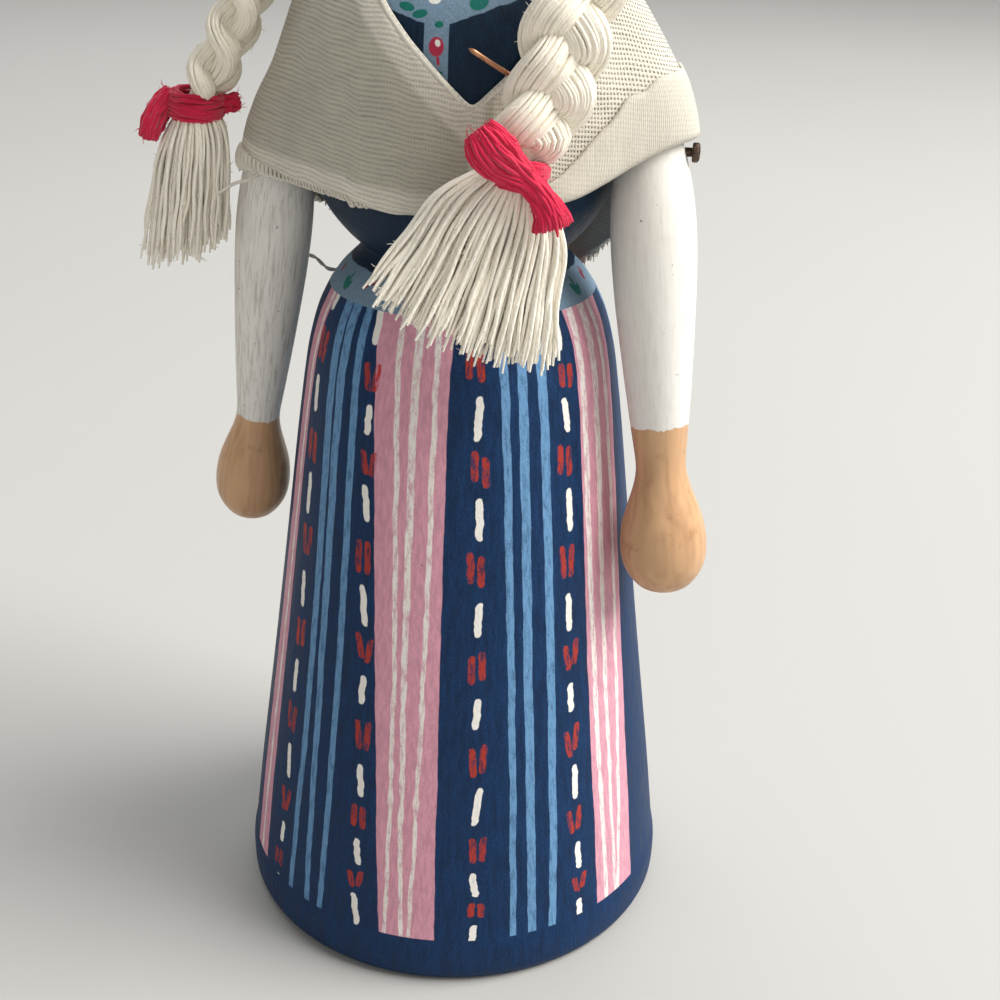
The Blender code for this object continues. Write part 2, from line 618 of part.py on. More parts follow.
def main():
    for obj in list(bpy.data.objects):
        bpy.data.objects.remove(obj, do_unlink=True)
    doll = collection("folk costume doll")
    cutters = collection("cutters", hidden=True)

    navy = material("navy painted wood", (0.008, 0.030, 0.098), 0.45)
    wood = material("lacquered wood", (0.68, 0.42, 0.20), 0.40)
    sleeve = material("white sleeve and wooden hand", (0.80, 0.78, 0.72), 0.55)
    linen = material("linen", (0.72, 0.68, 0.55), 0.9)
    yarn = material("cream yarn", (0.85, 0.78, 0.62), 0.95)
    red = material("red yarn", (0.55, 0.012, 0.05), 0.95)
    copper = material("copper", (0.62, 0.33, 0.20), 0.35, 1.0)
    dark = material("dark steel", (0.06, 0.045, 0.04), 0.5, 1.0)
    grey = material("grey thread", (0.25, 0.25, 0.24), 0.9)

    # body
    body = turned("body", BODY_PROFILE, BODY_STEPS, doll, navy)

    # head with a flat seat on the neck
    head_profile = [(0.0, HEAD_Z + HEAD_R)]
    low = math.asin((HEAD_Z - HEAD_FLAT_Z) / HEAD_R)
    for k in range(1, 12):
        a = math.pi / 2 - (math.pi / 2 + low) * k / 11
        head_profile.append((HEAD_R * math.cos(a), HEAD_Z + HEAD_R * math.sin(a)))
    head_profile.append((0.0, HEAD_FLAT_Z))
    turned("head", head_profile, 24, doll, wood)

    # arms
    arm("right_arm", RIGHT_HAND, RIGHT_ARM_PASS, RIGHT_ARM_GIRTH, doll, sleeve)
    left_arm = arm("left_arm", LEFT_HAND, LEFT_ARM_PASS, LEFT_ARM_GIRTH, doll, sleeve)

    # tack with its bores
    s = (TACK_Z - LEFT_HAND.z) / arm_axis(LEFT_HAND, LEFT_ARM_PASS).z
    centre = LEFT_HAND + arm_axis(LEFT_HAND, LEFT_ARM_PASS) * s
    outer = centre.x + LEFT_ARM_GIRTH * profile_radius(ARM_PROFILE, s)
    wall = math.sqrt(profile_radius(BODY_PROFILE, TACK_Z) ** 2 - centre.y ** 2)
    tip = Vector((wall - TACK_BITE, centre.y, TACK_Z))
    bore = rod("tack bore", tip - Vector((TACK_END_GAP, 0, 0)),
               Vector((outer + TACK_STAND + 3.0 * TACK_HEAD_T, centre.y, TACK_Z)),
               TACK_SHANK_R + TACK_CLEARANCE, 16, cutters)
    cutter_look(bore)
    cut(body, bore)
    cut(left_arm, bore)
    tack = rod("left_arm_tack", tip, Vector((outer + TACK_STAND + 0.25 * TACK_HEAD_T, centre.y, TACK_Z)),
               TACK_SHANK_R, 12, doll, dark)
    tack_head = rod("tack head", Vector((outer + TACK_STAND, centre.y, TACK_Z)),
                    Vector((outer + TACK_STAND + TACK_HEAD_T, centre.y, TACK_Z)), TACK_HEAD_R, 14, cutters)
    cutter_look(tack_head)
    join(tack, tack_head)

    # cloth and hair
    shawl(doll, linen)
    hair(doll, yarn)

    # plaits, each with its tassel
    right_wide = Vector((0.0, 1.0, 0.0))
    right_face = Vector((-1.0, 0.0, -0.25)).normalized()
    side = ARM_OUT + SLEEVE_R
    hair_out = HEAD_R + HAIR_GAP + HAIR_T
    right_points = [around(hair_out + 0.77 * BRAID_D, 188.3, HEAD_Z - 0.275 * HEAD_R),
                    around(BODICE_R + 1.1 * BRAID_D, 189.6, NECK_TOP_Z + 0.46 * NECK_H),
                    around(BODICE_R + 2.28 * BRAID_D, 189.9, WAIST_Z + 0.805 * BODICE_H),
                    around(side + 0.45 * BRAID_D, 188.4, WAIST_Z + 0.57 * BODICE_H),
                    around(side + 1.19 * BRAID_D, 188.0, WAIST_Z + 0.454 * BODICE_H),
                    around(side + 2.0 * BRAID_D, 186.7, WAIST_Z - 0.076 * BODICE_H)]
    plait("right_braid", right_points, right_wide, right_face, right_wide, RIGHT_BRAID_W, BRAID_D,
          (RIGHT_TASSEL_W, RIGHT_TASSEL_D, RIGHT_TASSEL_SAG), doll, yarn)
    left_face = Vector((0.46, -0.88, 0.0)).normalized()
    left_wide = Vector((0.88, 0.46, -0.04)).normalized()
    front = SHAWL_OUT + BRAID_D
    left_points = [around(hair_out + BRAID_D, -22.5, HEAD_Z - 0.31 * HEAD_R),
                   around(front + 0.58 * BRAID_D, -45.0, NECK_TOP_Z + 0.92 * NECK_H),
                   around(front + 1.065 * BRAID_D, -56.1, WAIST_Z + 0.875 * BODICE_H),
                   around(front + 1.065 * BRAID_D, -58.6, WAIST_Z + 0.71 * BODICE_H),
                   around(front + BRAID_D, -62.3, WAIST_Z + 0.576 * BODICE_H),
                   around(front + 0.97 * BRAID_D, -68.1, WAIST_Z + 0.405 * BODICE_H),
                   around(front + 0.935 * BRAID_D, -78.5, WAIST_Z - 0.143 * BODICE_H)]
    left_end = Vector((0.84, 0.44, -0.30)).normalized()
    plait("left_braid", left_points, left_wide, left_face, left_end, BRAID_W, BRAID_D,
          (TASSEL_W, TASSEL_D, TASSEL_SAG), doll, yarn)

    # red ties
    along = (right_points[-2] - right_points[-1]).normalized()
    wide = (right_wide - along * along.dot(right_wide)).normalized()
    ring_tie("right_braid_tie", right_points[-2], along, wide,
             [((-2.0, 3.7, -1.9), (2.2, 1.9, 2.7)), ((1.6, -3.2, 0.4), (1.6, 1.3, 1.5))], doll, cutters, red)
    along = (left_points[-2] - left_points[-1]).normalized()
    wide = (left_end - along * along.dot(left_end)).normalized()
    ring_tie("left_braid_tie", left_points[-2], along, wide,
             [((-4.1, -3.7, 1.6), (2.6, 1.6, 2.9)), ((3.2, -3.9, -2.2), (2.4, 1.5, 2.7)),
              ((-0.3, -3.3, 0.1), (4.4, 1.2, 2.2))], doll, cutters, red)

    # copper pin lying over the neckline
    lie = SHAWL_OUT + GAP + PIN_R
    tube("shawl_pin", [around(lie + 1.18 * PIN_R, -79.4, WAIST_Z + 0.741 * BODICE_H),
                       around(lie + 1.62 * PIN_R, -71.7, WAIST_Z + 0.692 * BODICE_H),
                       around(lie + 2.06 * PIN_R, -63.1, WAIST_Z + 0.64 * BODICE_H)], PIN_R, doll, copper)

    # thread from the back of the waist
    tube("waist_thread", smooth_path([Vector((-2.0, 13.2, 88.4)), Vector((-8.0, 12.6, 87.0)),
                                      Vector((-13.9, 9.2, 84.0)), Vector((-17.1, 4.2, 82.5)),
                                      Vector((-20.0, 5.0, 83.8)), Vector((-23.8, 9.0, 82.6)),
                                      Vector((-26.0, 13.0, 79.0))], 16),
         THREAD_R, doll, grey, 1)


main()
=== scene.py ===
"""Turned wooden doll in folk costume: painted body, yarn plaits and a linen shawl.

Laid out as an add-on and run as a script. The doll faces -Y and stands on Z = 0.
Left and right are the doll's own.
"""
import math

import bmesh
import bpy
from bpy.props import FloatProperty, FloatVectorProperty, IntProperty, PointerProperty
from mathutils import Matrix, Vector, noise
from mathutils.bvhtree import BVHTree


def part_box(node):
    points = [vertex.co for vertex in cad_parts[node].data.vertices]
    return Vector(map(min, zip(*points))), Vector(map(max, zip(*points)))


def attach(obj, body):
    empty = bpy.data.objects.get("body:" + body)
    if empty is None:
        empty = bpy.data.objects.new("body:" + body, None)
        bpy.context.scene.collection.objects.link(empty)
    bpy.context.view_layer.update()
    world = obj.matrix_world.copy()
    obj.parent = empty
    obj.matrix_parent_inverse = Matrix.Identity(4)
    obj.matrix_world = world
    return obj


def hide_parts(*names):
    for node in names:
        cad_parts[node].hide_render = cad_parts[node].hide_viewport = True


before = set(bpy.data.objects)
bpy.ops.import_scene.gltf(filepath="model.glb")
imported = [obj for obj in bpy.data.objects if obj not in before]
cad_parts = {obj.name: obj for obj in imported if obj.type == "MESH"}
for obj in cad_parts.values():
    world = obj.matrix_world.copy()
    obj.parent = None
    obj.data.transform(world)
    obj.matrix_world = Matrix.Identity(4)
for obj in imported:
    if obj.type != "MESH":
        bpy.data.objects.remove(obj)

bl_info = {
    "name": "Folk Costume Doll",
    "version": (1, 0, 0),
    "blender": (4, 5, 0),
    "location": "View3D > Sidebar > Doll",
    "description": "Builds a turned and painted wooden doll with a linen shawl and yarn plaits",
    "category": "Add Mesh",
}

MM = 0.001
# start of the noise that moves strands and loops, so that each run is the same
NOISE_SEED = 7

# turned outline of skirt, belt and bodice in mm, as runs of (radius, height) that meet in a crease
NECK_RUN = [(0.0, 122.4), (5.9, 122.4), (6.2, 122.1), (6.2, 121.5)]
BODICE_RUN = [(6.3, 121.35), (7.2, 121.1), (11.0, 120.3), (14.2, 118.6), (16.2, 116.0), (17.2, 112.5),
              (17.5, 107.5), (17.5, 102.0), (17.2, 96.0), (16.05, 93.0), (14.2, 90.5), (12.7, 89.0),
              (12.05, 88.35)]
WAIST_RUN = [(12.0, 88.2), (12.5, 87.4), (13.3, 86.6), (14.6, 85.3), (15.9, 83.5)]
SKIRT_RUN = [(15.9, 83.5), (17.3, 80.6), (18.4, 76.8), (19.1, 73.0), (20.25, 65.0), (21.9, 52.1),
             (24.2, 34.7), (26.6, 17.4), (27.95, 6.5)]
BAND_RUN = [(28.05, 6.2), (28.35, 4.6), (28.35, 2.0), (28.1, 1.0), (27.7, 0.35), (27.1, 0.0)]
FOOT_RUN = [(27.1, 0.0), (18.0, 0.0), (9.0, 0.0), (0.0, 0.0)]

# heights in mm where the skirt's paint starts and where the belt starts and ends
RIDGE_Z = 6.35
BELT_LOW_Z = 83.5
BELT_TOP_Z = 86.6

# stripes of the skirt: paint, angle at the foot, at the belt, bow between, width at the foot and the belt
PINK_BANDS = [(-59.0, -60.9, -0.7, 4.5, 2.8), (-2.3, -8.5, 0.2, 7.2, 9.0), (59.9, 68.6, -1.5, 7.7, 7.7)]
BLUE_LINES = [(-40.1, -43.7, 2.2, 0.92, 1.4), (-33.1, -37.9, 0.3, 0.9, 1.4), (-28.2, -30.6, 1.6, 0.87, 1.1),
              (25.6, 24.7, 0.8, 0.8, 1.0), (30.9, 31.6, 0.1, 1.15, 1.15), (36.8, 39.2, 0.9, 1.05, 1.2)]
WHITE_LINES = [(-59.0, -58.5, -0.7, 0.7, 0.6), (-8.2, -13.8, 2.0, 0.52, 0.66), (-3.7, -6.0, -0.8, 0.5, 1.0),
               (-1.7, 1.3, 0.5, 0.5, 0.66), (55.8, 58.9, -1.5, 0.7, 1.05), (59.6, 67.2, -2.0, 0.5, 1.3),
               (60.6, 74.1, 1.0, 0.65, 0.9)]

# dash columns: angle at the foot, at the belt, bow, and the heights of the white dashes
DASH_COLUMNS = [(-46.6, -53.8, 2.2, (5.0, 13.0, 23.7, 35.8, 47.6, 59.9, 72.2, 84.0)),
                (-16.5, -24.6, 1.1, (9.4, 16.7, 26.5, 38.9, 49.1, 62.3, 71.6, 81.8)),
                (15.0, 14.7, 1.2, (7.5, 14.0, 25.0, 37.4, 49.2, 61.5, 73.1, 84.6)),
                (45.5, 49.5, -1.1, (7.6, 14.8, 25.5, 37.2, 48.0, 61.1, 72.5, 81.2))]

# arms: node, middle of the hand, a point that the axis passes, girth, height of the sleeve's end, wear and
# shade; the right arm's high value is part real wear and part painted shade, darkening the arm on the shaded
# side
ARMS = [("right_arm", (-28.9, 3.9, 53.5), (-22.1, -1.0, 95.5), 0.94, 9.9, 0.58),
        ("left_arm", (26.5, -8.8, 55.2), (22.2, -4.8, 94.5), 1.0, 15.0, 0.16)]
ARM_RUN = [(0.0, 51.0), (1.6, 50.7), (2.6, 49.6), (3.52, 47.1), (4.27, 43.5), (4.7, 40.0), (4.85, 36.0),
           (4.65, 30.0), (4.03, 21.4), (3.25, 13.5), (2.95, 9.9), (3.35, 7.5), (4.2, 5.0), (4.9, 2.6),
           (5.15, -0.2), (4.75, -2.6), (3.4, -4.75), (1.8, -5.7), (0.0, -6.0)]

# head: radius, height of its seat and of its centre, then the radius inside the hair
HEAD_R = 13.8
HEAD_SEAT_Z = 122.7
HEAD_Z = 134.82
HAIR_IN = 14.4

# plaits: centre line from the head to the tie, then the tassel's end
RIGHT_PLAIT = [(-17.9, -2.6, 131.0), (-20.6, -3.5, 123.0), (-24.2, -4.2, 114.7), (-28.3, -4.2, 107.0),
               (-30.6, -4.3, 103.2), (-33.2, -3.9, 85.8)]
LEFT_PLAIT = [(17.4, -7.2, 130.5), (16.6, -16.6, 123.6), (13.9, -20.7, 117.0), (13.0, -21.3, 111.6),
              (11.5, -21.9, 107.2), (9.2, -22.9, 101.6), (4.9, -24.1, 83.6)]

# bunches of the ties: centre points as (wide, face, along) from the tie's middle, then half the width and
# half the thickness at each of them, and the number of strands
RIGHT_BUNCHES = [(((-0.6, 2.5, 1.2), (-1.2, 3.2, 0.0), (-2.0, 4.0, -2.2), (-2.5, 4.5, -4.6)),
                  (1.1, 1.6, 2.0, 1.3), (0.9, 1.1, 1.2, 0.8), 100),
                 (((0.4, -2.3, 0.2), (1.4, -3.3, 0.5), (2.3, -4.4, 0.9)),
                  (0.9, 1.0, 1.0), (0.7, 0.8, 0.8), 50)]
LEFT_BUNCHES = [(((-6.7, -3.4, 4.0), (-5.8, -3.8, 3.2), (-4.5, -3.9, 2.1), (-2.6, -3.5, 1.1),
                  (-0.3, -3.3, 0.1), (1.8, -3.6, -1.3), (3.2, -3.8, -2.9), (4.1, -3.8, -4.6)),
                 (1.3, 2.2, 2.3, 1.6, 1.05, 1.15, 1.6, 2.5), (0.6, 1.2, 1.3, 1.1, 1.0, 1.0, 1.1, 0.9), 170)]

# thread left hanging at the back of the waist
THREAD_ROUTE = [(-2.0, 13.2, 88.4), (-8.0, 12.6, 87.0), (-13.9, 9.2, 84.0), (-17.1, 4.2, 82.5),
                (-20.0, 5.0, 83.8), (-23.8, 9.0, 82.6), (-26.0, 13.0, 79.0)]

# pin through the shawl, and the tack's outline as runs of (radius, distance along it)
PIN_ROUTE = [(3.6, -19.25, 112.6), (6.2, -18.75, 111.0), (9.0, -17.75, 109.3)]
TACK_LENGTH = 13.86
TACK_HEAD_FROM = 12.9
TACK_RUNS = [[(0.0, 0.0), (0.3, 0.02), (0.5, 0.6)],
             [(0.5, 0.6), (0.5, 6.0), (0.5, TACK_HEAD_FROM)],
             [(0.5, 12.95), (1.0, 13.0), (1.1, 13.12), (1.1, 13.5)],
             [(1.1, 13.5), (0.95, 13.72), (0.55, 13.82), (0.0, TACK_LENGTH)]]

# lights: name, place, size, watts and colour
LIGHTS = [("window", (0.95, 0.05, 1.05), 0.95, 33.0, (1.0, 0.985, 0.95)),
          ("sky", (-0.30, 0.75, 1.60), 1.60, 15.0, (0.98, 0.985, 1.0)),
          ("fill", (0.10, -1.30, 0.50), 1.00, 2.2, (1.0, 0.97, 0.94))]
LIT_POINT = (0.0, 0.0, 0.08)
WORLD_COLOUR = (0.93, 0.925, 0.91, 1.0)
WORLD_STRENGTH = 0.34

# camera: place, then its turn, tilt and roll in degrees
CAMERA_PLACE = (0.02844, -0.16131, 0.1302)
CAMERA_ANGLES = (8.19, 65.2, 1.64)
CAMERA_LENS = 50.4

# turn from one strand to the next that spreads them evenly over a bundle
GOLDEN_ANGLE = 2.399963


# settings a user would change
class DollSizes(bpy.types.PropertyGroup):
    """Sizes of the turning, the yarn and the weave."""

    turn_steps: IntProperty(name="Turning Steps", default=160, min=24, max=256,
                            description="Segments round each turned piece")
    weave_pitch: FloatProperty(name="Weave Pitch", default=0.00051, unit="LENGTH", subtype="DISTANCE",
                               precision=5, description="Distance from one linen thread to the next")
    linen_thickness: FloatProperty(name="Linen Thickness", default=0.00035, unit="LENGTH",
                                   subtype="DISTANCE", precision=5,
                                   description="Thickness of one layer of the shawl")
    yarn_radius: FloatProperty(name="Yarn Radius", default=0.00022, unit="LENGTH", subtype="DISTANCE",
                               precision=5, description="Radius of one strand of plait yarn")
    plait_period: FloatProperty(name="Plait Period", default=0.0160, unit="LENGTH", subtype="DISTANCE",
                                precision=4, description="Length in which one bundle returns to its side")
    tassel_strands: IntProperty(name="Tassel Strands", default=250, min=8, max=400,
                                description="Strands in the wider tassel")
    hair_strands: IntProperty(name="Hair Strands", default=50, min=10, max=80,
                              description="Strands laid from the parting to each side")


class DollColours(bpy.types.PropertyGroup):
    """Paints and fibres."""

    navy: FloatVectorProperty(name="Navy", subtype="COLOR", size=3, min=0, max=1,
                              default=(0.005, 0.025, 0.078), description="Ground paint")
    light_blue: FloatVectorProperty(name="Light Blue", subtype="COLOR", size=3, min=0, max=1,
                                    default=(0.135, 0.290, 0.500), description="Skirt lines")
    pink: FloatVectorProperty(name="Pink", subtype="COLOR", size=3, min=0, max=1,
                              default=(0.640, 0.310, 0.390), description="Skirt bands")
    white: FloatVectorProperty(name="White", subtype="COLOR", size=3, min=0, max=1,
                               default=(0.830, 0.805, 0.755), description="Dashes, lines and sleeves")
    red: FloatVectorProperty(name="Red", subtype="COLOR", size=3, min=0, max=1,
                             default=(0.400, 0.040, 0.025), description="Short strokes and flower")
    belt: FloatVectorProperty(name="Belt", subtype="COLOR", size=3, min=0, max=1,
                              default=(0.190, 0.290, 0.390), description="Belt and bodice trim")
    green: FloatVectorProperty(name="Green", subtype="COLOR", size=3, min=0, max=1,
                               default=(0.010, 0.155, 0.125), description="Leaves")
    wood: FloatVectorProperty(name="Wood", subtype="COLOR", size=3, min=0, max=1,
                              default=(0.560, 0.335, 0.180), description="Lacquered wood")
    linen: FloatVectorProperty(name="Linen", subtype="COLOR", size=3, min=0, max=1,
                               default=(0.720, 0.680, 0.590), description="Shawl")
    yarn: FloatVectorProperty(name="Yarn", subtype="COLOR", size=3, min=0, max=1,
                              default=(0.860, 0.810, 0.700), description="Plaits and hair")
    tie: FloatVectorProperty(name="Tie", subtype="COLOR", size=3, min=0, max=1,
                             default=(0.560, 0.014, 0.060), description="Yarn of the ties")
    copper: FloatVectorProperty(name="Copper", subtype="COLOR", size=3, min=0, max=1,
                                default=(0.520, 0.260, 0.150), description="Pin")
    steel: FloatVectorProperty(name="Steel", subtype="COLOR", size=3, min=0, max=1,
                               default=(0.120, 0.085, 0.065), description="Tack")
    grey: FloatVectorProperty(name="Grey", subtype="COLOR", size=3, min=0, max=1,
                              default=(0.400, 0.390, 0.360), description="Thread at the waist")


def sizes():
    return bpy.context.scene.doll_sizes


def colours():
    return bpy.context.scene.doll_colours


# short calls for shader nodes
class Nodes:
    """Adds nodes to one tree and links them."""

    def __init__(self, tree):
        self.tree = tree

    def put(self, socket, value):
        """Link a socket, or set it where the value is plain."""
        if isinstance(value, bpy.types.NodeSocket):
            self.tree.links.new(value, socket)
        elif value is not None:
            socket.default_value = value

    def node(self, kind, **settings):
        made = self.tree.nodes.new(kind)
        for key, value in settings.items():
            setattr(made, key, value)
        return made

    def math(self, operation, a, b=None, c=None):
        made = self.node("ShaderNodeMath", operation=operation)
        for socket, value in zip(made.inputs, (a, b, c)):
            self.put(socket, value)
        return made.outputs[0]

    def add(self, a, b):
        return self.math("ADD", a, b)

    def sub(self, a, b):
        return self.math("SUBTRACT", a, b)

    def mul(self, a, b):
        return self.math("MULTIPLY", a, b)

    def most(self, *values):
        out = values[0]
        for value in values[1:]:
            out = self.math("MAXIMUM", out, value)
        return out

    def ramp(self, value, low, high, to_low=0.0, to_high=1.0):
        """Soft step from one value to another."""
        made = self.node("ShaderNodeMapRange", interpolation_type="SMOOTHSTEP", clamp=False)
        self.put(made.inputs["Value"], value)
        made.inputs["From Min"].default_value = low
        made.inputs["From Max"].default_value = high
        made.inputs["To Min"].default_value = to_low
        made.inputs["To Max"].default_value = to_high
        return made.outputs["Result"]

    def edge(self, value, width):
        """Mask that turns from 0 to 1 where the value passes zero."""
        return self.ramp(value, -width, width)

    def mix(self, share, first, second, blend="MIX"):
        made = self.node("ShaderNodeMix", data_type="RGBA", blend_type=blend)
        self.put(made.inputs[0], share)
        for socket, colour in ((made.inputs[6], first), (made.inputs[7], second)):
            self.put(socket, colour + (1.0,) if isinstance(colour, tuple) else colour)
        return made.outputs[2]

    def noise(self, vector, scale, detail=2.0, rough=0.5, distortion=0.0):
        made = self.node("ShaderNodeTexNoise")
        self.put(made.inputs["Vector"], vector)
        made.inputs["Scale"].default_value = scale
        made.inputs["Detail"].default_value = detail
        made.inputs["Roughness"].default_value = rough
        made.inputs["Distortion"].default_value = distortion
        return made.outputs["Fac"]

    def wander(self, value, seed):
        """One-dimensional noise about zero along a value."""
        place = self.add(value, seed)
        made = self.node("ShaderNodeTexNoise", noise_dimensions="1D")
        self.put(made.inputs["W"], place)
        made.inputs["Scale"].default_value = 1.0
        made.inputs["Detail"].default_value = 1.0
        return self.sub(made.outputs["Fac"], 0.5)

    def scaled(self, vector, x, y, z):
        made = self.node("ShaderNodeVectorMath", operation="MULTIPLY")
        self.put(made.inputs[0], vector)
        made.inputs[1].default_value = (x, y, z)
        return made.outputs[0]

    def object_place(self):
        return self.node("ShaderNodeTexCoord").outputs["Object"]

    def axes(self, vector):
        made = self.node("ShaderNodeSeparateXYZ")
        self.put(made.inputs[0], vector)
        return made.outputs[0], made.outputs[1], made.outputs[2]

    def bump(self, height, strength, distance, normal=None):
        made = self.node("ShaderNodeBump")
        made.inputs["Strength"].default_value = strength
        made.inputs["Distance"].default_value = distance
        self.put(made.inputs["Height"], height)
        self.put(made.inputs["Normal"], normal)
        return made.outputs["Normal"]

    def group(self, name, **values):
        made = self.node("ShaderNodeGroup")
        made.node_tree = bpy.data.node_groups[name]
        for key, value in values.items():
            self.put(made.inputs[key], value)
        return made.outputs


def tinted(colour, *shares):
    """A colour times one share, or times a share for each channel."""
    shares = shares * 3 if len(shares) == 1 else shares
    return tuple(min(v * k, 1.0) for v, k in zip(colour, shares))


def start_group(name, takes, gives):
    """A new shader group with float or vector inputs and outputs; returns its nodes, inputs and end."""
    tree = bpy.data.node_groups.new(name, "ShaderNodeTree")
    kinds = {"f": "NodeSocketFloat", "v": "NodeSocketVector", "c": "NodeSocketColor"}
    for label, kind in takes:
        tree.interface.new_socket(name=label, in_out="INPUT", socket_type=kinds[kind])
    for label, kind in gives:
        tree.interface.new_socket(name=label, in_out="OUTPUT", socket_type=kinds[kind])
    nodes = Nodes(tree)
    return nodes, nodes.node("NodeGroupInput").outputs, nodes.node("NodeGroupOutput").inputs


def start_material(name, roughness, **plain):
    """A new material with plain values on its Principled sockets; returns it, its nodes and the shader."""
    mat = bpy.data.materials.new(name)
    mat.use_nodes = True
    nodes = Nodes(mat.node_tree)
    shader = next(n for n in mat.node_tree.nodes if n.type == "BSDF_PRINCIPLED")
    shader.inputs["Roughness"].default_value = roughness
    for key, value in plain.items():
        shader.inputs[key.replace("_", " ")].default_value = value
    return mat, nodes, shader


# groups shared by several materials
def line_centre(n, at):
    """Distance in mm from a line that runs down the skirt at a given angle."""
    t = at["Share"]
    across = n.add(n.mul(at["Foot"], n.sub(1.0, t)), n.mul(at["Belt"], t))
    bend = n.mul(n.mul(at["Bow"], 4.0), n.mul(t, n.sub(1.0, t)))
    off = n.sub(at["Angle"], n.add(across, bend))
    return n.mul(n.mul(off, math.pi / 180.0), at["Radius"])


def build_stripe_group():
    """One painted line down the skirt, tapered from the foot to the belt: a mask."""
    takes = [(k, "f") for k in ("Angle", "Radius", "Share", "Foot", "Belt", "Bow", "Foot Width", "Belt Width",
                                "Sway", "Swell")]
    n, at, end = start_group("painted stripe", takes, [("Mask", "f")])
    off = line_centre(n, at)
    t = at["Share"]
    half = n.mul(n.add(n.mul(at["Foot Width"], n.sub(1.0, t)), n.mul(at["Belt Width"], t)), 0.5)
    inside = n.sub(n.add(half, at["Swell"]), n.math("ABSOLUTE", n.add(off, at["Sway"])))
    n.put(end["Mask"], n.edge(inside, 0.05))


def build_dash_group():
    """One column of white dashes with pairs of red strokes between them: two masks.

    Count is a whole number at the middle of each white dash.
    """
    takes = [(k, "f") for k in ("Angle", "Radius", "Share", "Foot", "Belt", "Bow", "Count", "Seed")]
    n, at, end = start_group("dash column", takes, [("White", "f"), ("Red", "f")])
    off = line_centre(n, at)

    def chance(count, shift):
        number = n.mul(n.math("ROUND", n.mul(count, 2.0)), 0.731)
        number = n.add(number, n.add(at["Seed"], shift))
        made = n.node("ShaderNodeTexWhiteNoise", noise_dimensions="1D")
        n.put(made.inputs["W"], number)
        return n.sub(made.outputs["Value"], 0.5)

    def mark(along, side, half_width, half_length):
        across = n.math("POWER", n.math("ABSOLUTE", n.math("DIVIDE", side, half_width)), 2.6)
        down = n.math("POWER", n.math("ABSOLUTE", n.math("DIVIDE", along, half_length)), 7.0)
        return n.edge(n.sub(1.0, n.add(across, down)), 0.25)

    rough = n.mul(n.wander(n.mul(at["Count"], 9.0), at["Seed"]), 0.35)
    whole = n.math("ROUND", at["Count"])
    along = n.sub(at["Count"], whole)
    side = n.add(off, n.add(n.mul(chance(whole, 3.0), 0.45), n.mul(n.mul(chance(whole, 5.0), along), 3.0)))
    side = n.add(side, rough)
    length = n.add(0.19, n.mul(chance(whole, 7.0), 0.06))
    n.put(end["White"], mark(along, side, 0.44, length))
    half = n.add(n.math("FLOOR", at["Count"]), 0.5)
    along = n.sub(at["Count"], half)
    lean = n.mul(n.add(n.mul(chance(half, 1.0), 1.6), 0.5), along)
    side = n.add(off, n.mul(chance(half, 2.0), 0.7))
    pair = []
    for sign in (-1.0, 1.0):
        place = n.add(n.mul(side, sign), n.add(-0.62, n.mul(lean, -1.6)))
        shift = n.add(along, n.mul(chance(half, 11.0 + sign), 0.07))
        pair.append(mark(shift, n.add(place, n.mul(rough, 0.6)), 0.43, 0.155))
    n.put(end["Red"], n.most(*pair))


def build_spot_group():
    """One painted oval: a mask."""
    takes = [(k, "f") for k in ("X", "Z", "Centre X", "Centre Z", "Wide X", "Wide Z", "High X", "High Z")]
    n, at, end = start_group("painted spot", takes, [("Mask", "f")])
    dx = n.sub(at["X"], at["Centre X"])
    dz = n.sub(at["Z"], at["Centre Z"])
    u = n.add(n.mul(dx, at["Wide X"]), n.mul(dz, at["Wide Z"]))
    v = n.add(n.mul(dx, at["High X"]), n.mul(dz, at["High Z"]))
    n.put(end["Mask"], n.edge(n.sub(1.0, n.add(n.mul(u, u), n.mul(v, v))), 0.2))


def spot_mask(n, x, z, rows, sides=(1.0,)):
    """Painted ovals: centre, width, height and tilt of each, on one side or mirrored to both."""
    masks = []
    for cx, cz, wide, high, tilt in rows:
        for side in sides if cx else (1.0,):
            turn = tilt * side
            out = n.group("painted spot", **{
                "X": x, "Z": z, "Centre X": cx * side, "Centre Z": cz,
                "Wide X": 2.0 * math.cos(turn) / wide, "Wide Z": 2.0 * math.sin(turn) / wide,
                "High X": -2.0 * math.sin(turn) / high, "High Z": 2.0 * math.cos(turn) / high})
            masks.append(out["Mask"])
    return n.most(*masks)


def build_grain_group():
    """Wood grain along Z, in mm: light and dark lines, pores and a height."""
    takes = [("Place", "v"), ("Light", "c"), ("Dark", "c"), ("Coarseness", "f")]
    n, at, end = start_group("wood grain", takes, [("Colour", "c"), ("Height", "f")])
    long = n.scaled(at["Place"], 900.0, 900.0, 55.0)
    fine = n.noise(long, 1.0, 4.0, 0.6, 0.3)
    rings = n.noise(n.scaled(at["Place"], 210.0, 210.0, 7.0), 1.0, 2.0, 0.5, 0.2)
    wave = n.math("SINE", n.mul(rings, 52.0))
    tone = n.add(n.mul(wave, 0.13), n.mul(fine, 0.8))
    blotch = n.noise(at["Place"], 130.0, 2.0, 0.6)
    share = n.math("MULTIPLY_ADD", n.add(tone, n.mul(blotch, 0.5)), at["Coarseness"], -0.22)
    share = n.ramp(share, 0.0, 0.8)
    n.put(end["Colour"], n.mix(share, at["Light"], at["Dark"]))
    n.put(end["Height"], fine)


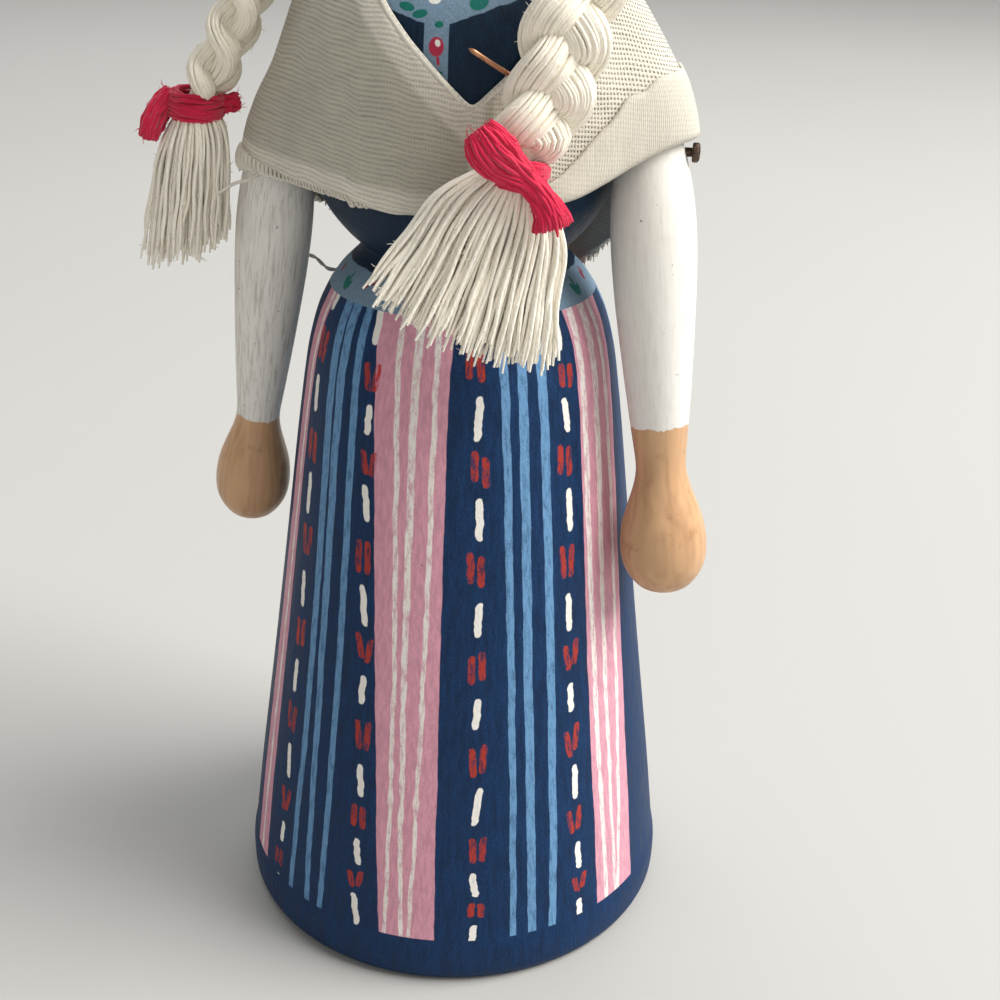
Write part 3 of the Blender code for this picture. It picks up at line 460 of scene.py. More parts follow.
def build_brush_group():
    """Brush drag in a paint film: a streaky value for colour and a height."""
    takes = [("Place", "v"), ("Length", "f")]
    n, at, end = start_group("brush drag", takes, [("Streak", "f"), ("Height", "f")])
    x, y, z = n.axes(at["Place"])
    parts = (n.mul(x, 1500.0), n.mul(y, 1500.0), n.math("DIVIDE", n.mul(z, 1500.0), at["Length"]))
    joined = n.node("ShaderNodeCombineXYZ")
    for socket, value in zip(joined.inputs, parts):
        n.put(socket, value)
    streak = n.noise(joined.outputs[0], 1.0, 3.0, 0.6)
    speck = n.noise(at["Place"], 2600.0, 2.0, 0.6)
    n.put(end["Streak"], streak)
    n.put(end["Height"], n.add(n.mul(streak, 0.6), n.mul(speck, 0.4)))


def build_weave_group():
    """Plain weave on the cloth's own UV, in threads: height, gap between threads and a shade, which is
    painted shade between the threads and on those that pass under, mixed with slub tone.
    """
    n, at, end = start_group("plain weave", [("Threads", "v"), ("Openness", "f")],
                             [("Height", "f"), ("Gap", "f"), ("Shade", "f")])
    drift = n.node("ShaderNodeTexNoise")
    n.put(drift.inputs["Vector"], at["Threads"])
    drift.inputs["Scale"].default_value = 0.045
    drift.inputs["Detail"].default_value = 2.0
    moved = n.node("ShaderNodeVectorMath", operation="MULTIPLY_ADD")
    n.put(moved.inputs[0], drift.outputs["Color"])
    moved.inputs[1].default_value = (2.2, 2.6, 0.0)
    n.put(moved.inputs[2], at["Threads"])
    u, v, _ = n.axes(moved.outputs[0])
    warp = n.math("ABSOLUTE", n.math("SINE", n.mul(u, math.pi)))
    weft = n.math("ABSOLUTE", n.math("SINE", n.mul(v, math.pi)))
    cell = n.math("MODULO", n.add(n.math("FLOOR", u), n.math("FLOOR", v)), 2.0)
    cell = n.math("ABSOLUTE", cell)
    loose = n.ramp(at["Openness"], 0.45, 0.8, 0.35, 1.0)
    # threads that pass under are darker than those that pass over: painted shade in the weave
    over = n.mul(n.add(0.68, n.mul(cell, 0.32)), n.add(n.mul(loose, 0.45), 0.55))
    under = n.sub(1.0, n.mul(n.mul(cell, 0.32), loose))
    body = n.most(n.mul(n.math("POWER", warp, 1.0), over), n.mul(n.math("POWER", weft, 1.3), under))
    slub = n.noise(n.scaled(moved.outputs[0], 0.10, 1.1, 1.0), 1.0, 2.0, 0.6)
    hair = n.noise(n.scaled(moved.outputs[0], 1.1, 1.9, 1.0), 1.0, 2.0, 0.65)
    n.put(end["Height"], n.add(n.mul(body, 0.7), n.add(n.mul(slub, 0.3), n.mul(hair, 0.35))))
    thick = n.mul(n.sub(slub, 0.5), 0.5)
    hole = n.sub(n.add(n.mul(at["Openness"], 1.05), -0.32), n.add(n.most(warp, weft), thick))
    n.put(end["Gap"], n.edge(hole, 0.07))
    # shade: painted shade from the thread profile, darker between threads, with real slub and hair tone
    n.put(end["Shade"], n.add(n.mul(body, 0.38), n.add(n.mul(slub, 0.34), n.mul(hair, 0.40))))


def build_yarn_group():
    """Twisted plies and stray fibres on a strand's own UV: a height and a shade, darker in the grooves
    between plies as painted shade, with fibre and broad tone.
    """
    n, at, end = start_group("yarn twist", [("Turns", "f"), ("Plies", "f"), ("Depth", "f"), ("Place", "v")],
                             [("Height", "f"), ("Shade", "f")])
    u, v, _ = n.axes(n.node("ShaderNodeUVMap").outputs[0])
    twist = n.add(n.mul(u, at["Turns"]), n.mul(v, at["Plies"]))
    ply = n.math("ABSOLUTE", n.math("SINE", n.mul(twist, math.pi)))
    ply = n.sub(1.0, n.mul(at["Depth"], n.sub(1.0, ply)))
    fibre = n.noise(n.scaled(at["Place"], 3200.0, 3200.0, 1100.0), 1.0, 2.0, 0.65)
    broad = n.noise(at["Place"], 420.0, 0.0, 0.5)
    n.put(end["Height"], n.add(n.mul(n.math("POWER", ply, 0.7), 0.6), n.mul(fibre, 0.6)))
    # shade: painted shade in the ply grooves, with real fibre and broad tone
    n.put(end["Shade"], n.add(n.mul(ply, 0.35), n.add(n.mul(fibre, 0.35), n.mul(broad, 0.3))))


def build_groups():
    build_stripe_group()
    build_dash_group()
    build_spot_group()
    build_grain_group()
    build_brush_group()
    build_weave_group()
    build_yarn_group()


# materials
class BodyPaint:
    """What the three paints of the turned body share: navy ground, brush marks and the shader's end."""

    def __init__(self, name):
        self.mat, self.n, self.shader = start_material(name, 0.5, Specular_IOR_Level=0.17)
        n = self.n
        self.place = n.object_place()
        self.x, self.y, self.z = n.axes(n.scaled(self.place, 1000.0, 1000.0, 1000.0))
        self.radius = n.math("SQRT", n.add(n.mul(self.x, self.x), n.mul(self.y, self.y)))
        self.angle = n.mul(n.math("ARCTAN2", self.x, n.mul(self.y, -1.0)), 180.0 / math.pi)
        self.drag = n.group("brush drag", Place=self.place, Length=9.0)
        self.grit = n.noise(self.place, 3800.0, 2.0, 0.7)
        c = colours()
        navy = n.mix(n.ramp(self.grit, 0.35, 0.8), tuple(c.navy), tinted(c.navy, 1.5))
        tone = n.ramp(self.drag["Streak"], 0.25, 0.75, 0.72, 1.25)
        self.col = n.mix(1.0, navy, tone, "MULTIPLY")

    def lay(self, mask, colour):
        self.col = self.n.mix(mask, self.col, colour)

    def done(self):
        n = self.n
        n.put(self.shader.inputs["Base Color"], self.col)
        n.put(self.shader.inputs["Roughness"], n.ramp(self.drag["Streak"], 0.2, 0.8, 0.42, 0.62))
        height = n.add(n.mul(self.drag["Height"], 0.8), n.mul(self.grit, 0.6))
        n.put(self.shader.inputs["Normal"], n.bump(height, 0.6, 0.00018))
        return self.mat


def skirt_lines(paint, angle, share, drifts, rows, wobble, seed):
    """One mask for a set of painted lines; each sways by its own share of a few common drifts."""
    n = paint.n
    masks = []
    for k, (foot, belt, bow, wide, narrow) in enumerate(rows):
        turn = seed + 1.9 * k
        sway = n.add(n.mul(drifts[0], math.cos(turn) * wobble), n.mul(drifts[1], math.sin(turn) * wobble))
        swell = n.add(n.mul(drifts[2], math.cos(turn * 1.7) * wobble * 0.6),
                      n.mul(drifts[3], math.sin(turn * 1.7) * wobble * 0.6))
        out = n.group("painted stripe", **{
            "Angle": angle, "Radius": paint.radius, "Share": share, "Foot": foot, "Belt": belt, "Bow": bow,
            "Foot Width": wide, "Belt Width": narrow, "Sway": sway, "Swell": swell})
        masks.append(out["Mask"])
    return n.most(*masks)


def dash_count(n, share, heights):
    """A value that is a whole number at the height of each white dash of a column."""
    count = n.node("ShaderNodeFloatCurve")
    count.mapping.use_clip = False
    curve = count.mapping.curves[0]
    total = float(len(heights))
    points = [((h - RIDGE_Z) / (BELT_LOW_Z - RIDGE_Z), i / total) for i, h in enumerate(heights)]
    curve.points[0].location = (-0.1, points[0][1] - 0.1 - min(points[0][0], 0.0))
    curve.points[1].location = (1.3, 1.0)
    for spot in points:
        curve.points.new(*spot)
    for point in curve.points:
        point.handle_type = "VECTOR"
    count.mapping.update()
    n.put(count.inputs["Value"], share)
    return n.mul(count.outputs[0], total)


def skirt_paint(front):
    """Bands and lines painted down the skirt; the dashes only on the front."""
    c = colours()
    paint = BodyPaint("navy skirt front" if front else "navy skirt back")
    n = paint.n
    share = n.math("DIVIDE", n.sub(paint.z, RIDGE_Z), BELT_LOW_Z - RIDGE_Z)
    over = n.edge(n.sub(paint.z, RIDGE_Z + 0.15), 0.05)
    dry = n.noise(n.scaled(paint.place, 2400.0, 2400.0, 420.0), 1.0, 3.0, 0.65)
    drifts = [n.wander(n.mul(paint.z, pace), shift)
              for pace, shift in ((0.11, 1.0), (0.13, 40.0), (0.38, 80.0), (0.33, 120.0))]
    if front:
        angle = paint.angle
        pink_rows, blue_rows, white_rows = PINK_BANDS, BLUE_LINES, WHITE_LINES
    else:
        angle = n.math("FLOORED_MODULO", n.add(paint.angle, 360.0), 360.0)
        pink_rows = [(m, m, 0.0, 7.6, 6.8) for m in (140.0, 220.0)]
        blue_rows = [(m + d, m + d, 0.0, 1.0, 0.9) for m in (103.0, 180.0, 257.0) for d in (-6.5, 0.0, 6.5)]
        white_rows = [(m + d, m + d, 0.0, 0.6, 0.55) for m in (140.0, 220.0) for d in (-4.6, 0.0, 4.6)]
    pink = n.mul(skirt_lines(paint, angle, share, drifts, pink_rows, 0.3, 0.4), over)
    blue = n.mul(skirt_lines(paint, angle, share, drifts, blue_rows, 0.32, 2.0), over)
    white = n.mul(skirt_lines(paint, angle, share, drifts, white_rows, 0.42, 5.0), over)
    rosy = n.mix(n.ramp(dry, 0.3, 0.7), tinted(c.pink, 0.86), tinted(c.pink, 1.1))
    paint.lay(pink, rosy)
    speckle = n.add(dry, n.mul(paint.grit, 0.35))
    paint.lay(n.mul(white, n.ramp(speckle, 0.46, 0.78, 0.22, 0.95)), tuple(c.white))
    paint.lay(n.mul(blue, n.ramp(speckle, 0.42, 0.76, 0.42, 1.0)), tuple(c.light_blue))
    if front:
        dashes = []
        strokes = []
        for k, (foot, belt, bow, heights) in enumerate(DASH_COLUMNS):
            count = dash_count(n, share, heights)
            out = n.group("dash column", Angle=angle, Radius=paint.radius, Share=share, Foot=foot, Belt=belt,
                          Bow=bow, Count=count, Seed=2.7 + 13.0 * k)
            dashes.append(out["White"])
            strokes.append(out["Red"])
        paint.lay(n.mul(n.mul(n.most(*dashes), over), n.ramp(speckle, 0.4, 0.6, 0.8, 1.0)), tuple(c.white))
        red = n.mul(n.mul(n.most(*strokes), over), n.ramp(speckle, 0.52, 0.74, 0.15, 0.95))
        paint.lay(red, n.mix(pink, tuple(c.red), (0.50, 0.012, 0.012)))
    chip = n.ramp(n.noise(paint.place, 620.0, 3.0, 0.75), 0.735, 0.75)
    paint.lay(n.mul(chip, n.math("MULTIPLY_ADD", pink, 0.7, 0.12)), (0.035, 0.012, 0.016))
    grain = n.group("wood grain", Place=paint.place, Light=(0.62, 0.42, 0.24, 1.0),
                    Dark=(0.40, 0.24, 0.12, 1.0), Coarseness=0.8)
    paint.lay(n.sub(1.0, n.ramp(paint.z, 0.02, 0.12)), grain["Colour"])
    return paint.done()


def bodice_paint():
    """Belt with leaves and buds, and the bodice with its flowered yoke and centre strip."""
    c = colours()
    paint = BodyPaint("navy bodice in painted shade and trimmed belt")
    n = paint.n
    # painted shade: the bodice's navy ground is darkened and made less blue, as the same paint lying in the
    # shawl's shadow
    paint.col = n.mix(1.0, paint.col, (0.85, 0.68, 0.50), "MULTIPLY")
    x, y, z = paint.x, paint.y, paint.z
    uneven = n.mul(n.wander(n.mul(paint.angle, 0.09), 4.0), 0.35)
    belt = n.sub(1.0, n.edge(n.sub(n.add(z, uneven), BELT_TOP_Z), 0.08))
    sprig = 62.0
    turn = n.sub(n.math("FLOORED_MODULO", n.add(paint.angle, 53.0 + sprig / 2), sprig), sprig / 2)
    across = n.mul(n.mul(turn, math.pi / 180.0), paint.radius)
    leaf = spot_mask(n, across, z, [(-0.45, 84.9, 0.75, 1.5, 0.5), (0.35, 84.7, 0.7, 1.3, -0.6),
                                    (0.0, 85.4, 0.4, 1.5, 0.0)])
    bud = spot_mask(n, across, z, [(3.6, 85.5, 0.8, 0.9, 0.0), (4.3, 85.9, 0.5, 0.8, 0.4),
                                   (-3.9, 85.6, 0.6, 0.9, 0.2)])
    front = n.sub(1.0, n.ramp(y, -3.0, -2.0))
    low = n.most(n.mul(n.sub(-1.63, x), 0.32), n.mul(n.sub(x, 1.11), 0.362), 0.0)
    ragged = n.mul(n.wander(n.mul(x, 0.8), 9.0), 0.25)
    yoke = n.edge(n.sub(z, n.add(n.add(low, 114.5), ragged)), 0.06)
    yoke = n.mul(yoke, n.sub(1.0, n.ramp(z, 120.9, 121.1)))
    strip = n.edge(n.sub(1.27, n.math("ABSOLUTE", n.add(x, 0.12))), 0.05)
    strip = n.mul(n.mul(strip, n.ramp(z, 91.0, 91.4)), n.sub(1.0, n.ramp(z, 115.2, 115.6)))
    trim = n.mul(n.most(yoke, strip), front)
    green = spot_mask(n, x, z, [(-3.4, 115.95, 1.7, 0.8, -0.2), (-1.95, 115.35, 1.6, 0.8, 0.2),
                                (0.1, 114.45, 0.9, 0.62, 0.1), (3.9, 116.6, 1.9, 1.5, 0.3),
                                (-3.1, 117.4, 1.3, 0.8, 0.5), (0.1, 109.6, 1.2, 0.5, 0.6),
                                (-0.5, 103.4, 1.1, 0.5, -0.5), (0.4, 97.6, 1.1, 0.5, 0.5)])
    petal = spot_mask(n, x, z, [(-0.08, 112.35, 1.55, 1.9, 0.0), (0.12, 111.0, 0.35, 0.9, 0.1),
                                (0.0, 105.4, 1.4, 1.6, 0.0), (0.0, 99.6, 1.4, 1.6, 0.0)])
    pale = spot_mask(n, x, z, [(0.05, 112.7, 0.55, 0.7, 0.3), (-0.53, 116.75, 1.3, 0.9, 0.0),
                               (0.0, 105.7, 0.5, 0.6, 0.0)])
    tone = n.mix(n.ramp(paint.grit, 0.3, 0.8), tinted(c.belt, 0.85), tinted(c.belt, 1.12))
    paint.lay(n.most(belt, trim), tone)
    paint.lay(n.mul(leaf, belt), tuple(c.green))
    paint.lay(n.mul(bud, belt), (0.28, 0.03, 0.05))
    paint.lay(n.mul(green, trim), tuple(c.green))
    paint.lay(n.mul(petal, trim), (0.42, 0.03, 0.07))
    paint.lay(n.mul(pale, trim), tuple(c.white))
    return paint.done()


def arm_paint(name, hand, through, sleeve_end, wear_and_shade):
    """White sleeve down to the wrist and lacquered wood below, along the arm's own axis."""
    c = colours()
    mat, n, shader = start_material(name, 0.5, Specular_IOR_Level=0.45)
    axis = Vector(through) - Vector(hand)
    whole = n.object_place()
    mapping = n.node("ShaderNodeMapping", vector_type="TEXTURE")
    mapping.inputs["Location"].default_value = Vector(hand) * MM
    mapping.inputs["Rotation"].default_value = axis.to_track_quat("Z", "Y").to_euler()
    n.put(mapping.inputs["Vector"], whole)
    place = mapping.outputs[0]
    x, y, z = n.axes(n.scaled(place, 1000.0, 1000.0, 1000.0))
    turn = n.math("ARCTAN2", x, y)
    ragged = n.add(n.mul(n.wander(n.mul(turn, 2.2), 3.0), 0.9), n.mul(n.wander(n.mul(turn, 9.0), 8.0), 0.22))
    sleeve = n.edge(n.sub(n.add(z, ragged), sleeve_end), 0.06)
    grain = n.group("wood grain", Place=place, Light=tinted(c.wood, 1.12) + (1.0,),
                    Dark=tinted(c.wood, 0.50, 0.40, 0.30) + (1.0,), Coarseness=0.62)
    drag = n.group("brush drag", Place=place, Length=14.0)
    pores = n.noise(n.scaled(place, 2600.0, 2600.0, 150.0), 1.0, 3.0, 0.7)
    # paint worn thin to the warm wood in the pores: real wear, and on the right arm also painted shade, as
    # that arm stands on the shaded side
    thin = n.ramp(pores, 0.44, 0.72, 0.0, wear_and_shade)
    white = n.mix(thin, tuple(c.white), (0.38, 0.33, 0.27))
    soil = n.ramp(n.noise(place, 210.0, 4.0, 0.65), 0.5, 0.8, 0.0, 0.22)
    white = n.mix(soil, white, (0.46, 0.43, 0.38))
    white = n.mix(n.ramp(n.noise(place, 900.0, 3.0, 0.7), 0.70, 0.73), white, (0.20, 0.15, 0.11))
    scuff = n.ramp(n.noise(place, 300.0, 4.0, 0.7), 0.56, 0.74, 0.0, 0.4)
    wood = n.mix(scuff, grain["Colour"], tinted(c.wood, 0.42, 0.32, 0.26))
    n.put(shader.inputs["Base Color"], n.mix(sleeve, wood, white))
    gloss = n.ramp(drag["Streak"], 0.2, 0.8, 0.30, 0.42)
    n.put(shader.inputs["Roughness"], n.add(n.mul(sleeve, 0.22), gloss))
    height = n.add(n.mul(sleeve, 0.5), n.add(n.mul(drag["Height"], 0.5), n.mul(pores, 0.3)))
    n.put(shader.inputs["Normal"], n.bump(height, 0.55, 0.00009))
    return mat


def head_paint():
    """Lacquered wood with a calm, plainly painted face."""
    c = colours()
    mat, n, shader = start_material("lacquered head with painted face", 0.36, Specular_IOR_Level=0.5)
    place = n.object_place()
    x, y, z = n.axes(n.scaled(place, 1000.0, 1000.0, 1000.0))
    z = n.sub(z, HEAD_Z)
    front = n.sub(1.0, n.ramp(y, -2.0, 0.0))
    grain = n.group("wood grain", Place=place, Light=tinted(c.wood, 1.15) + (1.0,),
                    Dark=tinted(c.wood, 0.62, 0.52, 0.42) + (1.0,), Coarseness=0.5)

    def spots(rows):
        return n.mul(spot_mask(n, x, z, rows, (-1.0, 1.0)), front)

    eye = spots([(4.2, -0.4, 1.7, 2.2, 0.0)])
    glint = spots([(4.0, 0.1, 0.5, 0.5, 0.0)])
    brow = spots([(4.3, 2.5, 3.4, 0.5, 0.06)])
    mouth = spots([(0.0, -5.6, 2.9, 0.9, 0.0), (0.62, -5.35, 1.3, 0.8, 0.25)])
    nose = spots([(0.42, -2.6, 0.45, 0.35, 0.0)])
    dx = n.sub(n.math("ABSOLUTE", x), 6.2)
    dz = n.add(z, 3.4)
    blush = n.math("SQRT", n.add(n.mul(dx, dx), n.mul(dz, dz)))
    blush = n.mul(n.sub(1.0, n.ramp(blush, 0.6, 3.2)), front)
    col = n.mix(n.mul(blush, 0.5), grain["Colour"], (0.62, 0.14, 0.10))
    col = n.mix(brow, col, (0.20, 0.10, 0.045))
    col = n.mix(eye, col, (0.018, 0.045, 0.095))
    col = n.mix(glint, col, (0.8, 0.8, 0.78))
    col = n.mix(nose, col, (0.34, 0.12, 0.06))
    col = n.mix(mouth, col, (0.50, 0.045, 0.045))
    n.put(shader.inputs["Base Color"], col)
    n.put(shader.inputs["Roughness"], n.ramp(grain["Height"], 0.2, 0.8, 0.28, 0.44))
    height = n.add(n.mul(grain["Height"], 0.5), n.mul(n.most(eye, mouth, brow), 0.5))
    n.put(shader.inputs["Normal"], n.bump(height, 0.4, 0.00008))
    return mat


def linen_cloth():
    """Coarse linen whose weave opens where the cloth is single; dark shows through the half-open parts."""
    c = colours()
    mat, n, shader = start_material("coarse linen", 0.92, Specular_IOR_Level=0.15, Sheen_Weight=0.15)
    threads = n.node("ShaderNodeUVMap").outputs[0]
    openness = n.node("ShaderNodeAttribute", attribute_name="openness").outputs["Fac"]
    weave = n.group("plain weave", Threads=threads, Openness=openness)
    place = n.object_place()
    stain = n.noise(place, 70.0, 3.0, 0.6)
    light = n.mix(n.ramp(stain, 0.35, 0.7), tinted(c.linen, 0.94), tinted(c.linen, 1.14))
    # the weave's shade runs from this darker linen, painted shade between the threads, to the stained light
    # linen
    dark = tinted(c.linen, 0.58, 0.58, 0.57)
    col = n.mix(n.ramp(weave["Shade"], 0.26, 0.78), dark, light)
    through = n.mul(n.ramp(openness, 0.25, 0.48), n.ramp(openness, 0.60, 0.50, 0.0, 1.0))
    col = n.mix(n.mul(through, 0.85), col, (0.68, 0.69, 0.65), "MULTIPLY")
    n.put(shader.inputs["Base Color"], col)
    n.put(shader.inputs["Alpha"], n.sub(1.0, weave["Gap"]))
    n.put(shader.inputs["Normal"], n.bump(weave["Height"], 0.55, 0.00010))
    return mat


def yarn_fibre(name, colour, turns, plies, depth=0.55, dark=0.55, sheen=0.12):
    """Matt yarn with its twist and stray fibres."""
    mat, n, shader = start_material(name, 0.9, Specular_IOR_Level=0.15, Sheen_Weight=sheen)
    place = n.object_place()
    twist = n.group("yarn twist", Turns=turns, Plies=plies, Depth=depth, Place=place)
    # the twist's shade runs from dark to light yarn: painted shade in the ply grooves, with fibre tone
    shade = n.ramp(twist["Shade"], 0.2, 0.62)
    n.put(shader.inputs["Base Color"], n.mix(shade, tinted(colour, dark), tinted(colour, 1.06)))
    n.put(shader.inputs["Normal"], n.bump(twist["Height"], 0.8, 0.00014))
    return mat


def worn_metal(name, colour, roughness, spot, spotting):
    """Small metal part, dulled in spots of a second colour."""
    mat, n, shader = start_material(name, roughness, Metallic=1.0)
    place = n.object_place()
    film = n.ramp(n.noise(place, 900.0, 4.0, 0.7), 0.5 - spotting, 0.62)
    n.put(shader.inputs["Base Color"], n.mix(film, tuple(colour), spot))
    n.put(shader.inputs["Roughness"], n.add(n.mul(film, 0.35), roughness))
    n.put(shader.inputs["Normal"], n.bump(n.noise(place, 2400.0, 3.0, 0.7), 0.5, 0.00006))
    return mat


# making pieces
def finish_piece(mesh, name, mat, slot, *nodes):
    """Name a finished mesh as a piece, give it its finish and put it on the doll."""
    mesh.name = name
    obj = bpy.data.objects.new(name, mesh)
    bpy.context.scene.collection.objects.link(obj)
    mesh.materials.append(mat)
    for poly in mesh.polygons:
        poly.use_smooth = True
    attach(obj, "root")
    if nodes:
        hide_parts(*nodes)
    return obj


def to_mesh(bm):
    """Turn a finished bmesh into a mesh and free it."""
    mesh = bpy.data.meshes.new("piece")
    bm.to_mesh(mesh)
    bm.free()
    return mesh


def smooth_run(points, parts):
    """Catmull-Rom points through the given ones, with so many parts to each span."""
    pts = [Vector(p) for p in points]
    pts = [pts[0] * 2 - pts[1]] + pts + [pts[-1] * 2 - pts[-2]]
    out = []
    for a, b, c, d in zip(pts, pts[1:], pts[2:], pts[3:]):
        for k in range(parts):
            t = k / parts
            out.append(0.5 * ((2 * b) + (c - a) * t + (2 * a - 5 * b + 4 * c - d) * t * t
                              + (3 * b - a - 3 * c + d) * t ** 3))
    out.append(pts[-2])
    return out


def run_length(points):
    return sum((b - a).length for a, b in zip(points, points[1:]))


def spread(line, count):
    """So many points spread evenly by length along a line of points."""
    marks = [0.0]
    for a, b in zip(line, line[1:]):
        marks.append(marks[-1] + (b - a).length)
    out = []
    k = 0
    for i in range(count):
        want = marks[-1] * i / (count - 1)
        while k < len(marks) - 2 and marks[k + 1] < want:
            k += 1
        step = marks[k + 1] - marks[k] or 1.0
        out.append(line[k].lerp(line[k + 1], (want - marks[k]) / step))
    return out


def even_run(points, count):
    """So many points spread evenly along a smooth line through the given ones."""
    return spread(smooth_run(points, 12), count)


def lathe(runs, parts, steps):
    """Spin joined runs of (radius, height) round Z into a closed turned body."""
    bm = bmesh.new()
    line = []
    for run in runs:
        for r, z in smooth_run(run, parts):
            if not line or abs(line[-1][0] - r) + abs(line[-1][1] - z) > 0.01:
                line.append((max(r, 0.0), z))
    verts = [bm.verts.new((r * MM, 0.0, z * MM)) for r, z in line]
    for a, b in zip(verts, verts[1:]):
        bm.edges.new((a, b))
    bmesh.ops.spin(bm, geom=bm.verts[:] + bm.edges[:], cent=(0, 0, 0), axis=(0, 0, 1),
                   angle=math.tau, steps=steps, use_merge=True)
    bmesh.ops.remove_doubles(bm, verts=bm.verts, dist=0.000005)
    bmesh.ops.recalc_face_normals(bm, faces=bm.faces)
    return bm


def tubes(paths, radii, resolution=2):
    """Round strands along paths in mm, as one mesh whose UV runs along and round each strand.

    radii holds one radius for each path, or a list with one for each of its points.
    """
    curve = bpy.data.curves.new("strands", "CURVE")
    curve.dimensions = "3D"
    curve.bevel_depth = 1.0
    curve.bevel_resolution = resolution
    curve.use_fill_caps = True
    for path, radius in zip(paths, radii):
        spline = curve.splines.new("POLY")
        spline.points.add(len(path) - 1)
        for k, (point, place) in enumerate(zip(spline.points, path)):
            point.co = (*(Vector(place) * MM), 1.0)
            point.radius = (radius[k] if hasattr(radius, "__len__") else radius) * MM
    holder = bpy.data.objects.new("strands", curve)
    bpy.context.scene.collection.objects.link(holder)
    bpy.context.view_layer.update()
    mesh = bpy.data.meshes.new_from_object(holder.evaluated_get(bpy.context.evaluated_depsgraph_get()))
    bpy.data.objects.remove(holder)
    bpy.data.curves.remove(curve)
    return mesh


def cast_out(tree, origin, direction, reach=0.2):
    """Farthest hit of a ray that leaves origin."""
    return tree.ray_cast(origin + direction * reach, -direction, reach)[0]


def signed(degrees):
    """An angle brought between -180 and 180."""
    return degrees - 360.0 if degrees > 180.0 else degrees


def node_tree_of(name):
    """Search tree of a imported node's mesh."""
    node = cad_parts[name]
    bm = bmesh.new()
    bm.from_mesh(node.data)
    bm.transform(node.matrix_world)
    tree = BVHTree.FromBMesh(bm)
    bm.free()
    return tree


# pieces
class DOLL_OT_body(bpy.types.Operator):
    """Turn the skirt, belt and bodice and paint them"""

    bl_idname = "doll.body"
    bl_label = "Body"

    def execute(self, context):
        bm = lathe([NECK_RUN, BODICE_RUN, WAIST_RUN, SKIRT_RUN, BAND_RUN, FOOT_RUN], 4, sizes().turn_steps)
        for face in bm.faces:
            at = face.calc_center_median()
            if at.z > BELT_LOW_Z * MM:
                face.material_index = 2
            elif abs(math.degrees(math.atan2(at.x, -at.y))) >= 90.0:
                face.material_index = 1
        obj = finish_piece(to_mesh(bm), "turned_body", skirt_paint(True), "navy_painted_wood", "body")
        obj.data.materials.append(skirt_paint(False))
        obj.data.materials.append(bodice_paint())
        return {"FINISHED"}


class DOLL_OT_arms(bpy.types.Operator):
    """Turn both arms, sleeve and hand in one"""

    bl_idname = "doll.arms"
    bl_label = "Arms"

    def execute(self, context):
        for node, hand, through, girth, sleeve_end, wear_and_shade in ARMS:
            bm = lathe([[(r * girth, z) for r, z in ARM_RUN]], 4, 72)
            for v in bm.verts:
                v.co.x += noise.noise(v.co * 90.0) * 0.00008
                v.co.y += noise.noise(v.co * 90.0 + Vector((3, 1, 7))) * 0.00008
            axis = Vector(through) - Vector(hand)
            spin = axis.to_track_quat("Z", "Y").to_matrix().to_4x4()
            bmesh.ops.transform(bm, matrix=Matrix.Translation(Vector(hand) * MM) @ spin, verts=bm.verts)
            mat = arm_paint("white sleeve and lacquered hand " + node, hand, through, sleeve_end, wear_and_shade)
            finish_piece(to_mesh(bm), "turned_" + node, mat, "white_painted_wood", node)
        return {"FINISHED"}


